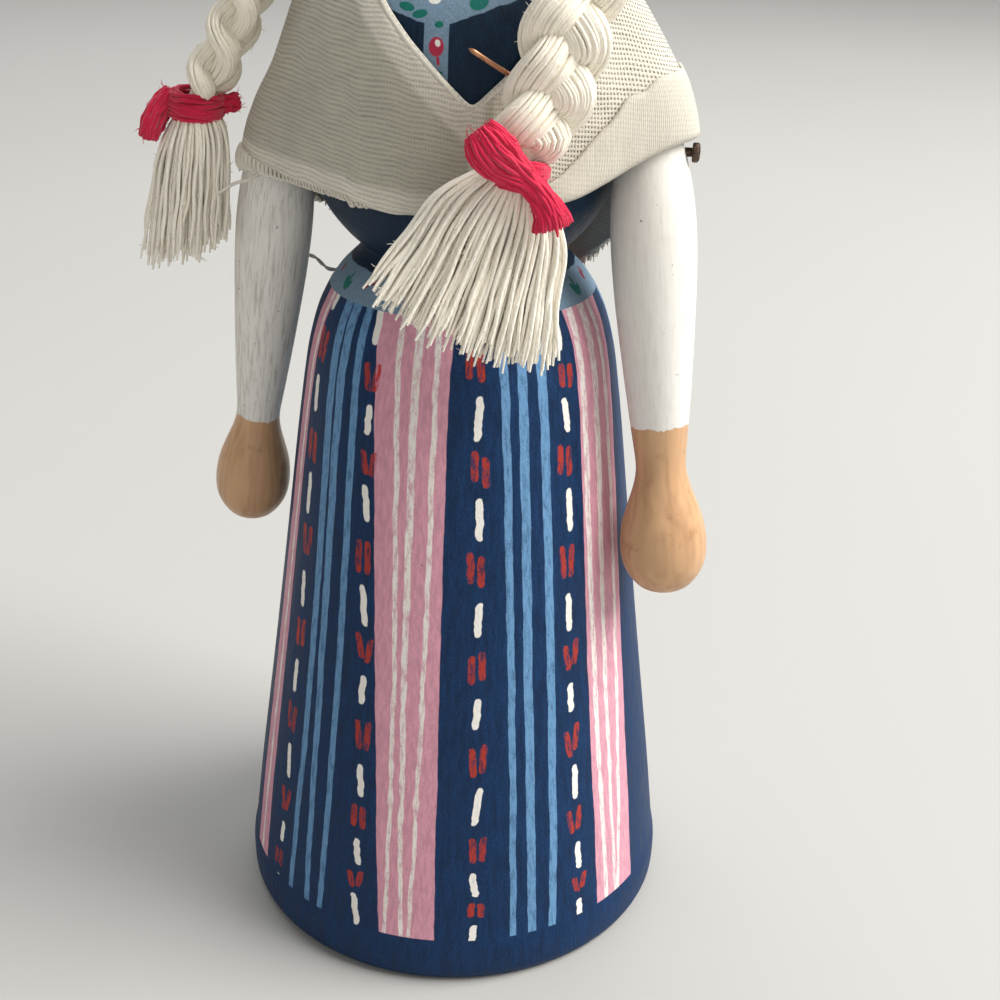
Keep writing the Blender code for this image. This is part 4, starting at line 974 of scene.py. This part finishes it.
class DOLL_OT_head(bpy.types.Operator):
    """Turn the head, paint its face and lay the yarn hair"""

    bl_idname = "doll.head"
    bl_label = "Head and Hair"

    # where the parting runs, in degrees from the face over the crown to the nape
    PARTING = (46.0, 208.0)
    HAIR_POINTS = 15

    def execute(self, context):
        seat = math.asin((HEAD_Z - HEAD_SEAT_Z) / HEAD_R)
        run = [(0.0, HEAD_Z + HEAD_R)]
        for k in range(1, 33):
            a = math.pi / 2 - (math.pi / 2 + seat) * k / 32
            run.append((HEAD_R * math.cos(a), HEAD_Z + HEAD_R * math.sin(a)))
        bm = lathe([run, [run[-1], (3.0, HEAD_SEAT_Z), (0.0, HEAD_SEAT_Z)]], 2, 96)
        finish_piece(to_mesh(bm), "turned_head", head_paint(), "lacquered_wood", "head")
        self.lay_hair()
        return {"FINISHED"}

    def lay_hair(self):
        """Yarn laid from the parting to the root of each plait, over a close cap."""
        c = colours()
        mat = yarn_fibre("cream hair yarn", tuple(c.yarn), 26.0, 2.0)
        count = sizes().hair_strands
        rise = HAIR_IN + 0.62
        paths = []
        for side in (-1.0, 1.0):
            root = Vector((side * 15.2, -2.6, -3.6)).normalized()
            for layer in range(2):
                for i in range(count):
                    share = (i + 0.5 * layer) / (count - 1)
                    part = min(share, 1.0)
                    along = math.radians(self.PARTING[0] + (self.PARTING[1] - self.PARTING[0]) * part)
                    start = Vector((side * 0.035, -math.cos(along), math.sin(along))).normalized()
                    drop = Vector((0.0, 0.0, -0.16 * math.sin(math.pi * part) * layer))
                    fan = Vector((0.0, (share - 0.42) * 0.34, -0.10 + 0.05 * layer))
                    end = (root + fan).normalized()
                    path = []
                    for k in range(self.HAIR_POINTS):
                        t = k / (self.HAIR_POINTS - 1)
                        at = start.lerp(end, t)
                        at = (at + drop * (math.sin(math.pi * t) * 0.3)).normalized()
                        high = rise + 0.45 * (1 - layer) - 0.35 * (1.0 - min(t * 5.0, 1.0)) + 0.25 * t
                        path.append(at * high + Vector((0, 0, HEAD_Z)))
                    paths.append(path)
        mesh = tubes(paths, [0.46] * len(paths), 1)
        cap = bmesh.new()
        bmesh.ops.create_uvsphere(cap, u_segments=48, v_segments=32, radius=(HAIR_IN + 0.2) * MM)
        bmesh.ops.bisect_plane(cap, geom=cap.verts[:] + cap.edges[:] + cap.faces[:], dist=1e-7,
                               plane_co=(0, 0.0028, -0.001), plane_no=(0.0, -0.62, -0.78), clear_outer=True)
        bmesh.ops.solidify(cap, geom=cap.faces[:], thickness=0.0002)
        bmesh.ops.recalc_face_normals(cap, faces=cap.faces)
        bmesh.ops.transform(cap, matrix=Matrix.Translation((0, 0, HEAD_Z * MM)), verts=cap.verts)
        both = bmesh.new()
        both.from_mesh(mesh)
        both.from_mesh(to_mesh(cap))
        finish_piece(to_mesh(both), "yarn_hair", mat, "cream_yarn", "hair")


class DOLL_OT_shawl(bpy.types.Operator):
    """Drape the linen shawl over the shoulders with its turned-up hem and frayed ends"""

    bl_idname = "doll.shawl"
    bl_label = "Shawl"

    COLUMNS = 240
    ROWS = 46
    # column where one front laps over the other, and the last column of the plain front
    OVERLAP = 8
    LAP_END = 218
    LAP_STEP = 0.0005
    # radius at which the threads round the doll stand one pitch apart
    WEAVE_RADIUS = 0.030
    # angles of the turned-up hem, and of the overcast loops, in degrees from the front
    TURNED = (26.0, 150.0)
    LOOPED = (-114.0, -26.0)
    HEM_ROWS = 12
    HEM_LIFT = 0.00042
    HEM_FLAT = 0.0105
    HEM_MEAN = 0.0100

    def execute(self, context):
        tree = node_tree_of("shawl")
        centre = Vector((0.0, 0.0, 0.100))
        grid = []
        for i in range(self.COLUMNS):
            theta = math.tau * i / self.COLUMNS
            flat = Vector((math.sin(theta), -math.cos(theta), 0.0))
            line = []
            for k in range(341):
                rise = math.radians(76.0 - 0.4 * k)
                aim = flat * math.cos(rise) + Vector((0, 0, math.sin(rise)))
                hit = cast_out(tree, centre, aim)
                if hit is not None:
                    line.append(hit)
            grid.append(line)
        self.columns = [spread(line, self.ROWS) for line in grid]
        for _ in range(5):
            self.columns = self.relax(self.columns)
        for i, column in enumerate(self.columns):
            if not self.OVERLAP < i < self.LAP_END:
                column[-1] = column[-1] + (column[-1] - column[-4]).normalized() * self.LAP_STEP
        mat = linen_cloth()
        cloth = self.sheet_mesh(self.columns, 0.0, range(self.COLUMNS))
        obj = finish_piece(cloth, "linen_shawl", mat, "linen", "shawl")
        area = self.thicken(obj)
        self.turn_up(mat)
        self.neck_edge(mat)
        self.fray(mat)
        return {"FINISHED"}

    def thicken(self, obj):
        """Give the cloth its thickness; returns the area of one face of it."""
        area = sum(p.area for p in obj.data.polygons)
        thick = obj.modifiers.new("cloth thickness", "SOLIDIFY")
        thick.thickness = sizes().linen_thickness
        thick.offset = -1.0
        return area

    def relax(self, columns):
        """Ease each point toward its neighbours, as cloth lies."""
        total = len(columns)
        fresh = []
        for i, column in enumerate(columns):
            before, after = columns[i - 1], columns[(i + 1) % total]
            row = []
            for j, v in enumerate(column):
                near = before[j] + after[j]
                if 0 < j < len(column) - 1:
                    row.append(v * 0.4 + near * 0.15 + (column[j - 1] + column[j + 1]) * 0.15)
                else:
                    row.append(v * 0.6 + near * 0.2)
            fresh.append(row)
        return fresh

    def sheet_mesh(self, columns, lift, picked, turned=None):
        """Cloth along the picked columns, lifted off them, with its threads in the UV.

        Where turned is given, the threads run the other way, and turned scales them round the doll.
        """
        closed = len(picked) == self.COLUMNS
        pitch = sizes().weave_pitch
        bm = bmesh.new()
        loop = bm.loops.layers.uv.new("UVMap")
        gap = bm.verts.layers.float.new("openness")
        verts = []
        for i in picked:
            column = columns[i]
            theta = math.tau * i / self.COLUMNS
            hem = [0.0]
            for a, b in zip(column[::-1], column[::-1][1:]):
                hem.append(hem[-1] + (b - a).length)
            hem = hem[::-1]
            row = []
            for point, from_hem in zip(column, hem):
                out = Vector((math.sin(theta), -math.cos(theta), 0.25)).normalized()
                v = bm.verts.new(point + out * lift)
                v[gap] = self.openness(theta, (hem[0] - from_hem) / MM, from_hem / MM)
                row.append((v, from_hem, column[-1].z + 0.12 * column[-1].x))
            verts.append(row)
        total = len(picked)
        threads = round(math.tau * self.WEAVE_RADIUS / pitch)
        for a in range(total if closed else total - 1):
            b = (a + 1) % total
            turn = ((picked[a] - self.OVERLAP) % self.COLUMNS) * math.tau / self.COLUMNS
            reach = math.tau / self.COLUMNS
            for j in range(len(verts[a]) - 1):
                corners = ((a, j, turn), (a, j + 1, turn), (b, j + 1, turn + reach), (b, j, turn + reach))
                face = bm.faces.new([verts[p][q][0] for p, q, _ in corners])
                for corner, (p, q, angle) in zip(face.loops, corners):
                    across = angle / math.tau * threads
                    along = (verts[p][q][1] + verts[p][q][2]) / pitch
                    corner[loop].uv = (along, across * turned) if turned else (across, along)
        bmesh.ops.recalc_face_normals(bm, faces=bm.faces)
        return to_mesh(bm)

    def openness(self, theta, from_neck, from_hem):
        """How far apart the threads stand: close along the edges and the right front, open elsewhere."""
        a = signed(math.degrees(theta))
        edge = min(max((from_neck - 2.4) / 2.0, 0.0), 1.0) * min(max((from_hem - 1.6) / 1.6, 0.0), 1.0)
        if a < 12.0:
            return 0.12 + edge * (0.36 + 0.5 * min(max((-a - 105.0) / 25.0, 0.0), 1.0))
        return 0.12 + max(edge, 0.8) * 0.80 * min(max((a - 12.0) / 10.0, 0.0), 1.0)

    def turn_up(self, mat):
        """Hem of the left front and shoulder, turned up over itself with a ragged edge."""
        first, last = (round(self.COLUMNS * angle / 360.0) for angle in self.TURNED)
        picked = range(first, last)
        columns = {}
        for i in picked:
            column = self.columns[i]
            share = (i - first) / (last - first - 1)
            grow = min(share / 0.34, 1.0)
            reach = (0.0012 + 0.0064 * grow * grow * (3.0 - 2.0 * grow)) * min(1.0, (1.0 - share) * 4 + 0.2)
            reach *= 1.0 + 0.10 * noise.noise(Vector((i * 0.31, 2.0, 0.0)))
            fine = spread(column, 400)
            start = min(round(399 * (1.0 - reach / run_length(column))), 394)
            columns[i] = spread(fine[start:], self.HEM_ROWS)
        cloth = self.sheet_mesh(columns, self.HEM_LIFT, picked, 2.1)
        for item in cloth.attributes["openness"].data:
            item.value = 0.0
        obj = finish_piece(cloth, "shawl_turned_hem", mat, "linen")
        area = self.thicken(obj)

    def neck_edge(self, mat):
        """Rolled edge round the neckline."""
        path = [column[0] / MM for column in self.columns]
        path.append(path[0])
        mesh = tubes([path], [0.38], 3)
        for layer in mesh.uv_layers:
            for item in layer.data:
                item.uv = (item.uv[0] * 260.0, item.uv[1] * 3.0)
        finish_piece(mesh, "shawl_neck_edge", mat, "linen")

    def fray(self, mat):
        """Overcast loops on the right front's hem, loose ends on the back's, and one long thread."""
        paths = []
        radii = []
        for i, column in enumerate(self.columns):
            theta = signed(360.0 * i / self.COLUMNS)
            end = column[-1] / MM
            inward = column[-4] / MM
            down = (end - inward).normalized()
            out = Vector((math.sin(math.radians(theta)), -math.cos(math.radians(theta)), 0.0))
            chance = noise.noise_vector(Vector((i * 1.7, 2.1, 0.4)))
            if self.LOOPED[0] < theta < self.LOOPED[1]:
                big = min(1.0, max(0.0, (-64.0 - theta) / 14.0))
                side = Vector((0, 0, 1)).cross(out) * (0.3 + chance.x * 0.7)
                paths.append(even_run([end - down * (0.5 + 0.9 * big) + out * 0.1,
                                       end - down * 0.3 + out * (0.15 + 0.3 * big) + side * 0.4,
                                       end + down * (0.10 + (0.45 + chance.y * 0.9) * big) + out * 0.1 + side,
                                       end - down * 0.1 - out * 0.35 + side], 7))
                radii.append(0.12 + 0.23 * big)
                continue
            if self.LOOPED[1] < theta < 118.0:
                continue
            dense = abs(theta) > 122.0
            for k in range(3 if dense else 1):
                seed = Vector((i * 1.7, k * 5.3, 0.4))
                drift = noise.noise_vector(seed)
                reach = (1.0 if dense else 0.55) * (0.5 + 0.8 * abs(noise.noise(seed * 2.3)))
                start = end - down * 0.5 + Vector((drift.x, drift.y, 0.0)) * 0.3
                middle = start + down * (0.5 + reach * 0.5) + drift * 0.18
                tip = start + down * (0.5 + reach) + drift * 0.6
                paths.append([start, middle, tip])
                radii.append([0.13, 0.11, 0.07])
        corner = self.columns[round(self.COLUMNS * (360.0 - 74.0) / 360.0)][-1] / MM
        paths.append(even_run([corner + Vector((0.6, 0.4, 0.3)), corner + Vector((-1.2, -1.0, -0.8)),
                               corner + Vector((-3.2, -0.8, -1.5)), corner + Vector((-5.4, -0.3, -2.9))], 13))
        radii.append(0.20)
        finish_piece(tubes(paths, radii, 1), "shawl_fray", mat, "linen")


class DOLL_OT_plaits(bpy.types.Operator):
    """Plait the cream yarn, fan out both tassels and tie them with red yarn"""

    bl_idname = "doll.plaits"
    bl_label = "Plaits and Ties"

    # strands round a bundle, and half its width and height in mm
    STRANDS = 36
    BUNDLE_WIDE = 2.15
    BUNDLE_HIGH = 1.15
    # points along a plait, a tassel's strand and a tie's bunch
    PLAIT_POINTS = 100
    TASSEL_POINTS = 30
    TIE_POINTS = 22

    def execute(self, context):
        c = colours()
        yarn = yarn_fibre("cream plait yarn", tuple(c.yarn), 44.0, 2.0, 0.30, 0.74)
        # painted light: the tassels' yarn is the plaits' yarn made paler and cooler, so the tassels read
        # brighter than the plaits
        pale = tinted(c.yarn, 1.05, 1.06, 1.08)
        tassel = yarn_fibre("cream tassel yarn", pale, 18.0, 2.0, 0.45, 0.74)
        red = yarn_fibre("red tie yarn", tuple(c.tie), 2.0, 1.0, 0.15, 0.55, 0.3)
        right_face = Vector((-1.0, 0.0, -0.25)).normalized()
        left_face = Vector((0.46, -0.88, 0.0)).normalized()
        right_wide = Vector((0.0, 1.0, 0.0))
        left_wide = Vector((0.88, 0.46, -0.04)).normalized()
        left_end = Vector((0.84, 0.44, -0.30)).normalized()
        count = sizes().tassel_strands
        self.plait("right_braid", RIGHT_PLAIT, right_wide, right_face, 4.0, 2.6, yarn, 0.7)
        self.plait("left_braid", LEFT_PLAIT, left_wide, left_face, 4.6, 2.6, yarn, 2.4)
        self.tassel("right_tassel", RIGHT_PLAIT, right_wide, right_face, 4.3, 5.4, 0.4, 0.0,
                    round(count * 0.65), tassel, 5)
        self.tassel("left_tassel", LEFT_PLAIT, left_end, left_face, 11.6, 2.0, 1.8, -1.0, count, tassel, 9)
        self.tie("right_red_tie", "right_braid_tie", RIGHT_PLAIT, right_wide, RIGHT_BUNCHES, red)
        self.tie("left_red_tie", "left_braid_tie", LEFT_PLAIT, left_end, LEFT_BUNCHES, red)
        return {"FINISHED"}

    def fuzz(self, paths, radii, count, reach, seed):
        """Stray fibres that stand off the strands."""
        strands = len(paths)
        for i in range(count):
            pick = noise.noise_vector(Vector((i * 7.31, seed, 2.2)))
            path = paths[int(abs(pick.x) * 9973.0) % strands]
            k = int(abs(pick.y) * 7919.0) % (len(path) - 1)
            a = path[k]
            out = noise.noise_vector(Vector((i * 3.7, seed * 2.0, 8.8)))
            out = out.normalized() if out.length > 0.01 else Vector((0, 0, 1))
            bend = noise.noise_vector(Vector((i * 1.9, seed * 3.0, 4.4)))
            paths.append([a, a + out * (reach * 0.4), a + out * (reach * 0.75) + bend * 0.35,
                          a + out * reach + bend * 0.9])
            radii.append([0.045, 0.04, 0.035, 0.02])

    def plait(self, name, points, wide, face, width, depth, mat, shift):
        """Three bundles of yarn crossing over each other from the head to the tie."""
        end = Vector(points[-2])
        before = Vector(points[-3])
        head = Vector((0, 0, HEAD_Z))
        root = head + (Vector(points[0]) - head).normalized() * (HAIR_IN + 0.4)
        line = even_run([root + Vector((0, 0, 1.2))] + [Vector(p) for p in points[:-2]]
                        + [end + (before - end).normalized() * 0.6], self.PLAIT_POINTS)
        length = run_length(line)
        period = sizes().plait_period / MM
        radius = sizes().yarn_radius / MM
        paths = []
        radii = []
        for bundle in range(3):
            middle = []
            for k, at in enumerate(line):
                s = length * k / (len(line) - 1)
                phase = math.tau * (s / period + bundle / 3.0) + shift
                squeeze = min(1.0, 0.30 + (length - s) / 4.2) * min(1.0, 0.60 + s / 9.0)
                side = math.sin(phase) * (width - 2.2) * squeeze
                rise = math.sin(2.0 * phase) * (depth - 1.30) * squeeze
                middle.append((at + wide * side + face * rise, squeeze))
            for strand in range(self.STRANDS + 3):
                around = math.tau * strand / self.STRANDS
                core = strand - self.STRANDS - 1 if strand >= self.STRANDS else None
                path = []
                girths = []
                for k, (at, squeeze) in enumerate(middle):
                    ahead = middle[min(k + 1, len(middle) - 1)][0] - middle[max(k - 1, 0)][0]
                    ahead.normalize()
                    across = (face.cross(ahead)).normalized()
                    up = ahead.cross(across).normalized()
                    if core is not None:
                        path.append(at + across * (core * 0.95 * squeeze))
                        girths.append((1.0 if core else 1.2) * squeeze)
                        continue
                    roll = noise.noise(Vector((k * 0.05, strand, bundle))) * 0.3
                    roll += around + 0.35 * math.sin(k * 0.11 + bundle)
                    wobble = noise.noise_vector(Vector((k * 0.07, strand * 3.1, bundle * 7.7 + shift))) * 0.15
                    path.append(at + across * (math.cos(roll) * self.BUNDLE_WIDE * squeeze)
                                + up * (math.sin(roll) * self.BUNDLE_HIGH * squeeze) + wobble)
                    girths.append(radius * (0.8 + 0.2 * squeeze))
                paths.append(path)
                radii.append(girths)
        self.fuzz(paths, radii, 900, 0.75, shift)
        finish_piece(tubes(paths, radii, 1), "yarn_" + name, mat, "cream_yarn", name)

    def tassel(self, name, points, wide, face, spread, thick, sag, shift, count, mat, seed):
        """Loose strands that fan out below the tie, to half the width spread and half the depth thick.

        The lower edge hangs by sag to one side, and the fan is moved sideways by shift.
        """
        tie = Vector(points[-2])
        end = Vector(points[-1])
        down = (end - tie).normalized()
        radius = sizes().yarn_radius / MM
        last = self.TASSEL_POINTS - 1
        paths = []
        radii = []
        for i in range(count):
            turn = GOLDEN_ANGLE * i
            ring = math.sqrt((i + 0.5) / count)
            u = math.cos(turn) * ring
            v = math.sin(turn) * ring
            drift = noise.noise_vector(Vector((i * 2.7, seed, 1.3)))
            top = tie + wide * (u * 1.9) + face * (v * 1.5) - down * 0.6
            reach = end + wide * (u * spread + shift) + face * (v * thick)
            reach -= down * (sag * (u * u - 0.9 * u) + 0.3 + drift.z * 2.4)
            first = top.lerp(reach, 0.30) + wide * (u * spread * 0.22) + face * (v * thick * 0.30)
            second = top.lerp(reach, 0.66) + wide * (u * spread * 0.10) + face * (v * thick * 0.16)
            path = even_run([top, first, second + drift * 0.5, reach + drift * 0.7], self.TASSEL_POINTS)
            for k, p in enumerate(path):
                sway = noise.noise_vector(Vector((k * 0.13, i * 1.9, seed * 3.0)))
                path[k] = p + sway * (0.10 + 0.42 * k / last)
            paths.append(path)
            girth = radius * (0.87 + 0.26 * (drift.x + 0.5))
            radii.append([girth * min(1.0, 1.0 - 0.11 * (k - last + 4)) for k in range(self.TASSEL_POINTS)])
        self.fuzz(paths, radii, 1300, 0.8, seed)
        finish_piece(tubes(paths, radii, 1), "yarn_" + name, mat, "cream_yarn")

    def tie(self, name, node, points, wide, bunches, mat):
        """Soft unspun yarn wound round the plait, with the bunches that stand out from it."""
        centre = Vector(points[-2])
        along = (centre - Vector(points[-1])).normalized()
        wide = (wide - along * along.dot(wide)).normalized()
        face = along.cross(wide).normalized()
        paths = []
        radii = []
        for turn in range(24):
            high = (turn % 8 - 3.5) * 0.36
            out = 2.2 + 0.34 * (turn // 8)
            loop = []
            for k in range(41):
                a = math.tau * k / 40
                sway = noise.noise_vector(Vector((math.cos(a) * 1.5, math.sin(a) * 1.5, turn * 1.7))) * 0.22
                bulge = 1.0 + 0.08 * math.cos(high * 1.1)
                loop.append(centre + (wide * math.cos(a) + face * math.sin(a)) * out * bulge
                            + along * (high + 0.2 * math.sin(a + turn)) + sway)
            paths.append(loop)
            radii.append(0.26)
        last = self.TIE_POINTS - 1
        for bunch, (middles, halves, depths, count) in enumerate(bunches):
            line = even_run([centre + wide * p[0] + face * p[1] + along * p[2] for p in middles],
                            self.TIE_POINTS)
            for i in range(count):
                turn = GOLDEN_ANGLE * i
                ring = math.sqrt((i + 0.5) / count)
                path = []
                for k, at in enumerate(line):
                    t = k / last * (len(halves) - 1)
                    low = min(int(t), len(halves) - 2)
                    half = halves[low] + (halves[low + 1] - halves[low]) * (t - low)
                    deep = depths[low] + (depths[low + 1] - depths[low]) * (t - low)
                    ahead = (line[min(k + 1, last)] - line[max(k - 1, 0)]).normalized()
                    across = ahead.cross(face).normalized()
                    lift = across.cross(ahead).normalized()
                    sway = noise.noise_vector(Vector((k * 0.22, i * 1.3, bunch * 9.0)))
                    path.append(at + across * (math.cos(turn) * ring * half)
                                + lift * (math.sin(turn) * ring * deep) + sway * 0.30)
                cut = self.TIE_POINTS - round(1.2 + 1.2 * noise.noise(Vector((i * 2.1, bunch, 3.0))))
                first = round(1.0 + 1.0 * noise.noise(Vector((i * 2.9, bunch, 5.0))))
                path = path[first:cut]
                paths.append(path)
                radii.append([0.10] + [0.21] * (len(path) - 2) + [0.09])
        self.fuzz(paths, radii, 500, 0.6, len(bunches))
        finish_piece(tubes(paths, radii, 1), name, mat, "red_yarn", node)


class DOLL_OT_fastenings(bpy.types.Operator):
    """Put in the tack, the copper pin and the loose thread"""

    bl_idname = "doll.fastenings"
    bl_label = "Tack, Pin and Thread"

    def execute(self, context):
        c = colours()
        low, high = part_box("left_arm_tack")
        middle = (Vector(low) + Vector(high)) * 0.5
        bm = lathe(TACK_RUNS, 3, 28)
        for v in bm.verts:
            if v.co.z > TACK_HEAD_FROM * MM:
                v.co.x *= 1.0 + 0.10 * noise.noise(v.co * 1500.0)
                v.co.y *= 1.0 + 0.10 * noise.noise(v.co * 1500.0 + Vector((4, 4, 4)))
        spin = Vector((1, 0, 0)).to_track_quat("Z", "Y").to_matrix().to_4x4()
        place = Vector((high[0] - TACK_LENGTH * MM, middle.y, middle.z))
        bmesh.ops.transform(bm, matrix=Matrix.Translation(place) @ spin, verts=bm.verts)
        steel = worn_metal("dark steel", c.steel, 0.45, (0.030, 0.016, 0.010), 0.12)
        finish_piece(to_mesh(bm), "steel_tack", steel, "dark_steel", "left_arm_tack")

        steps = 24
        line = even_run([Vector(p) for p in PIN_ROUTE], steps)
        radii = [0.27 * min(1.0, 0.25 + k * 0.5, 0.12 + (steps - 1 - k) * 0.13) for k in range(steps)]
        copper = worn_metal("copper", c.copper, 0.28, (0.26, 0.11, 0.06), 0.0)
        finish_piece(tubes([line], [radii], 4), "copper_pin", copper, "copper", "shawl_pin")

        route = even_run([Vector(p) for p in THREAD_ROUTE], 40)
        grey = yarn_fibre("grey thread", tuple(c.grey), 46.0, 2.0, 0.6, 0.35, 0.05)
        plies = []
        for ply in (0.0, math.pi):
            path = []
            for k, at in enumerate(even_run(route, 160)):
                turn = ply + k * 0.42
                path.append(at + Vector((0.0, math.cos(turn), math.sin(turn))) * 0.11)
            plies.append(path)
        twist = tubes(plies, [0.15, 0.15], 2)
        obj = finish_piece(twist, "waist_thread_twist", grey, "grey_thread", "waist_thread")
        return {"FINISHED"}


class DOLL_OT_stage(bpy.types.Operator):
    """Set the floor, the lights and the camera"""

    bl_idname = "doll.stage"
    bl_label = "Stage"

    def execute(self, context):
        scene = context.scene
        bm = bmesh.new()
        bmesh.ops.create_grid(bm, x_segments=1, y_segments=1, size=3.0)
        floor = bpy.data.objects.new("floor", to_mesh(bm))
        scene.collection.objects.link(floor)
        mat, n, shader = start_material("pale floor", 0.85)
        shade = n.noise(n.object_place(), 3.0, 2.0, 0.5)
        n.put(shader.inputs["Base Color"], n.mix(shade, (0.42, 0.415, 0.40), (0.46, 0.455, 0.44)))
        floor.data.materials.append(mat)

        world = bpy.data.worlds.new("soft studio")
        world.use_nodes = True
        background = world.node_tree.nodes["Background"]
        background.inputs["Color"].default_value = WORLD_COLOUR
        background.inputs["Strength"].default_value = WORLD_STRENGTH
        scene.world = world
        for light in LIGHTS:
            self.light(*light)

        camera = bpy.data.cameras.new("camera")
        camera.lens = CAMERA_LENS
        camera.sensor_width = 36.0
        camera.clip_start = 0.01
        holder = bpy.data.objects.new("camera", camera)
        turned = Matrix.Translation(CAMERA_PLACE)
        for angle, axis in zip(CAMERA_ANGLES, "ZXZ"):
            turned = turned @ Matrix.Rotation(math.radians(angle), 4, axis)
        holder.matrix_world = turned
        scene.collection.objects.link(holder)
        scene.camera = holder
        scene.view_settings.view_transform = "Standard"
        return {"FINISHED"}

    def light(self, name, place, size, watts, colour):
        data = bpy.data.lights.new(name, "AREA")
        data.shape = "SQUARE"
        data.size = size
        data.energy = watts
        data.color = colour
        lamp = bpy.data.objects.new(name, data)
        aim = (Vector(LIT_POINT) - Vector(place)).to_track_quat("-Z", "Y").to_matrix().to_4x4()
        lamp.matrix_world = Matrix.Translation(place) @ aim
        bpy.context.scene.collection.objects.link(lamp)


class DOLL_PT_panel(bpy.types.Panel):
    """Sizes, paints and the pieces in the order they are made"""

    bl_idname = "DOLL_PT_panel"
    bl_label = "Folk Costume Doll"
    bl_space_type = "VIEW_3D"
    bl_region_type = "UI"
    bl_category = "Doll"

    def draw(self, context):
        layout = self.layout
        for group in (context.scene.doll_sizes, context.scene.doll_colours):
            box = layout.box()
            for key in group.__annotations__:
                box.prop(group, key)
        for step in STEPS:
            layout.operator(step.bl_idname)


STEPS = (DOLL_OT_stage, DOLL_OT_body, DOLL_OT_arms, DOLL_OT_head, DOLL_OT_shawl, DOLL_OT_plaits,
         DOLL_OT_fastenings)
CLASSES = (DollSizes, DollColours) + STEPS + (DOLL_PT_panel,)


def register():
    noise.seed_set(NOISE_SEED)
    for cls in CLASSES:
        bpy.utils.register_class(cls)
    bpy.types.Scene.doll_sizes = PointerProperty(type=DollSizes)
    bpy.types.Scene.doll_colours = PointerProperty(type=DollColours)


def unregister():
    del bpy.types.Scene.doll_colours
    del bpy.types.Scene.doll_sizes
    for cls in reversed(CLASSES):
        bpy.utils.unregister_class(cls)


def main():
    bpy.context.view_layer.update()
    register()
    build_groups()
    bpy.ops.doll.stage()
    bpy.ops.doll.body()
    bpy.ops.doll.arms()
    bpy.ops.doll.head()
    bpy.ops.doll.shawl()
    bpy.ops.doll.plaits()
    bpy.ops.doll.fastenings()


if __name__ == "__main__":
    main()
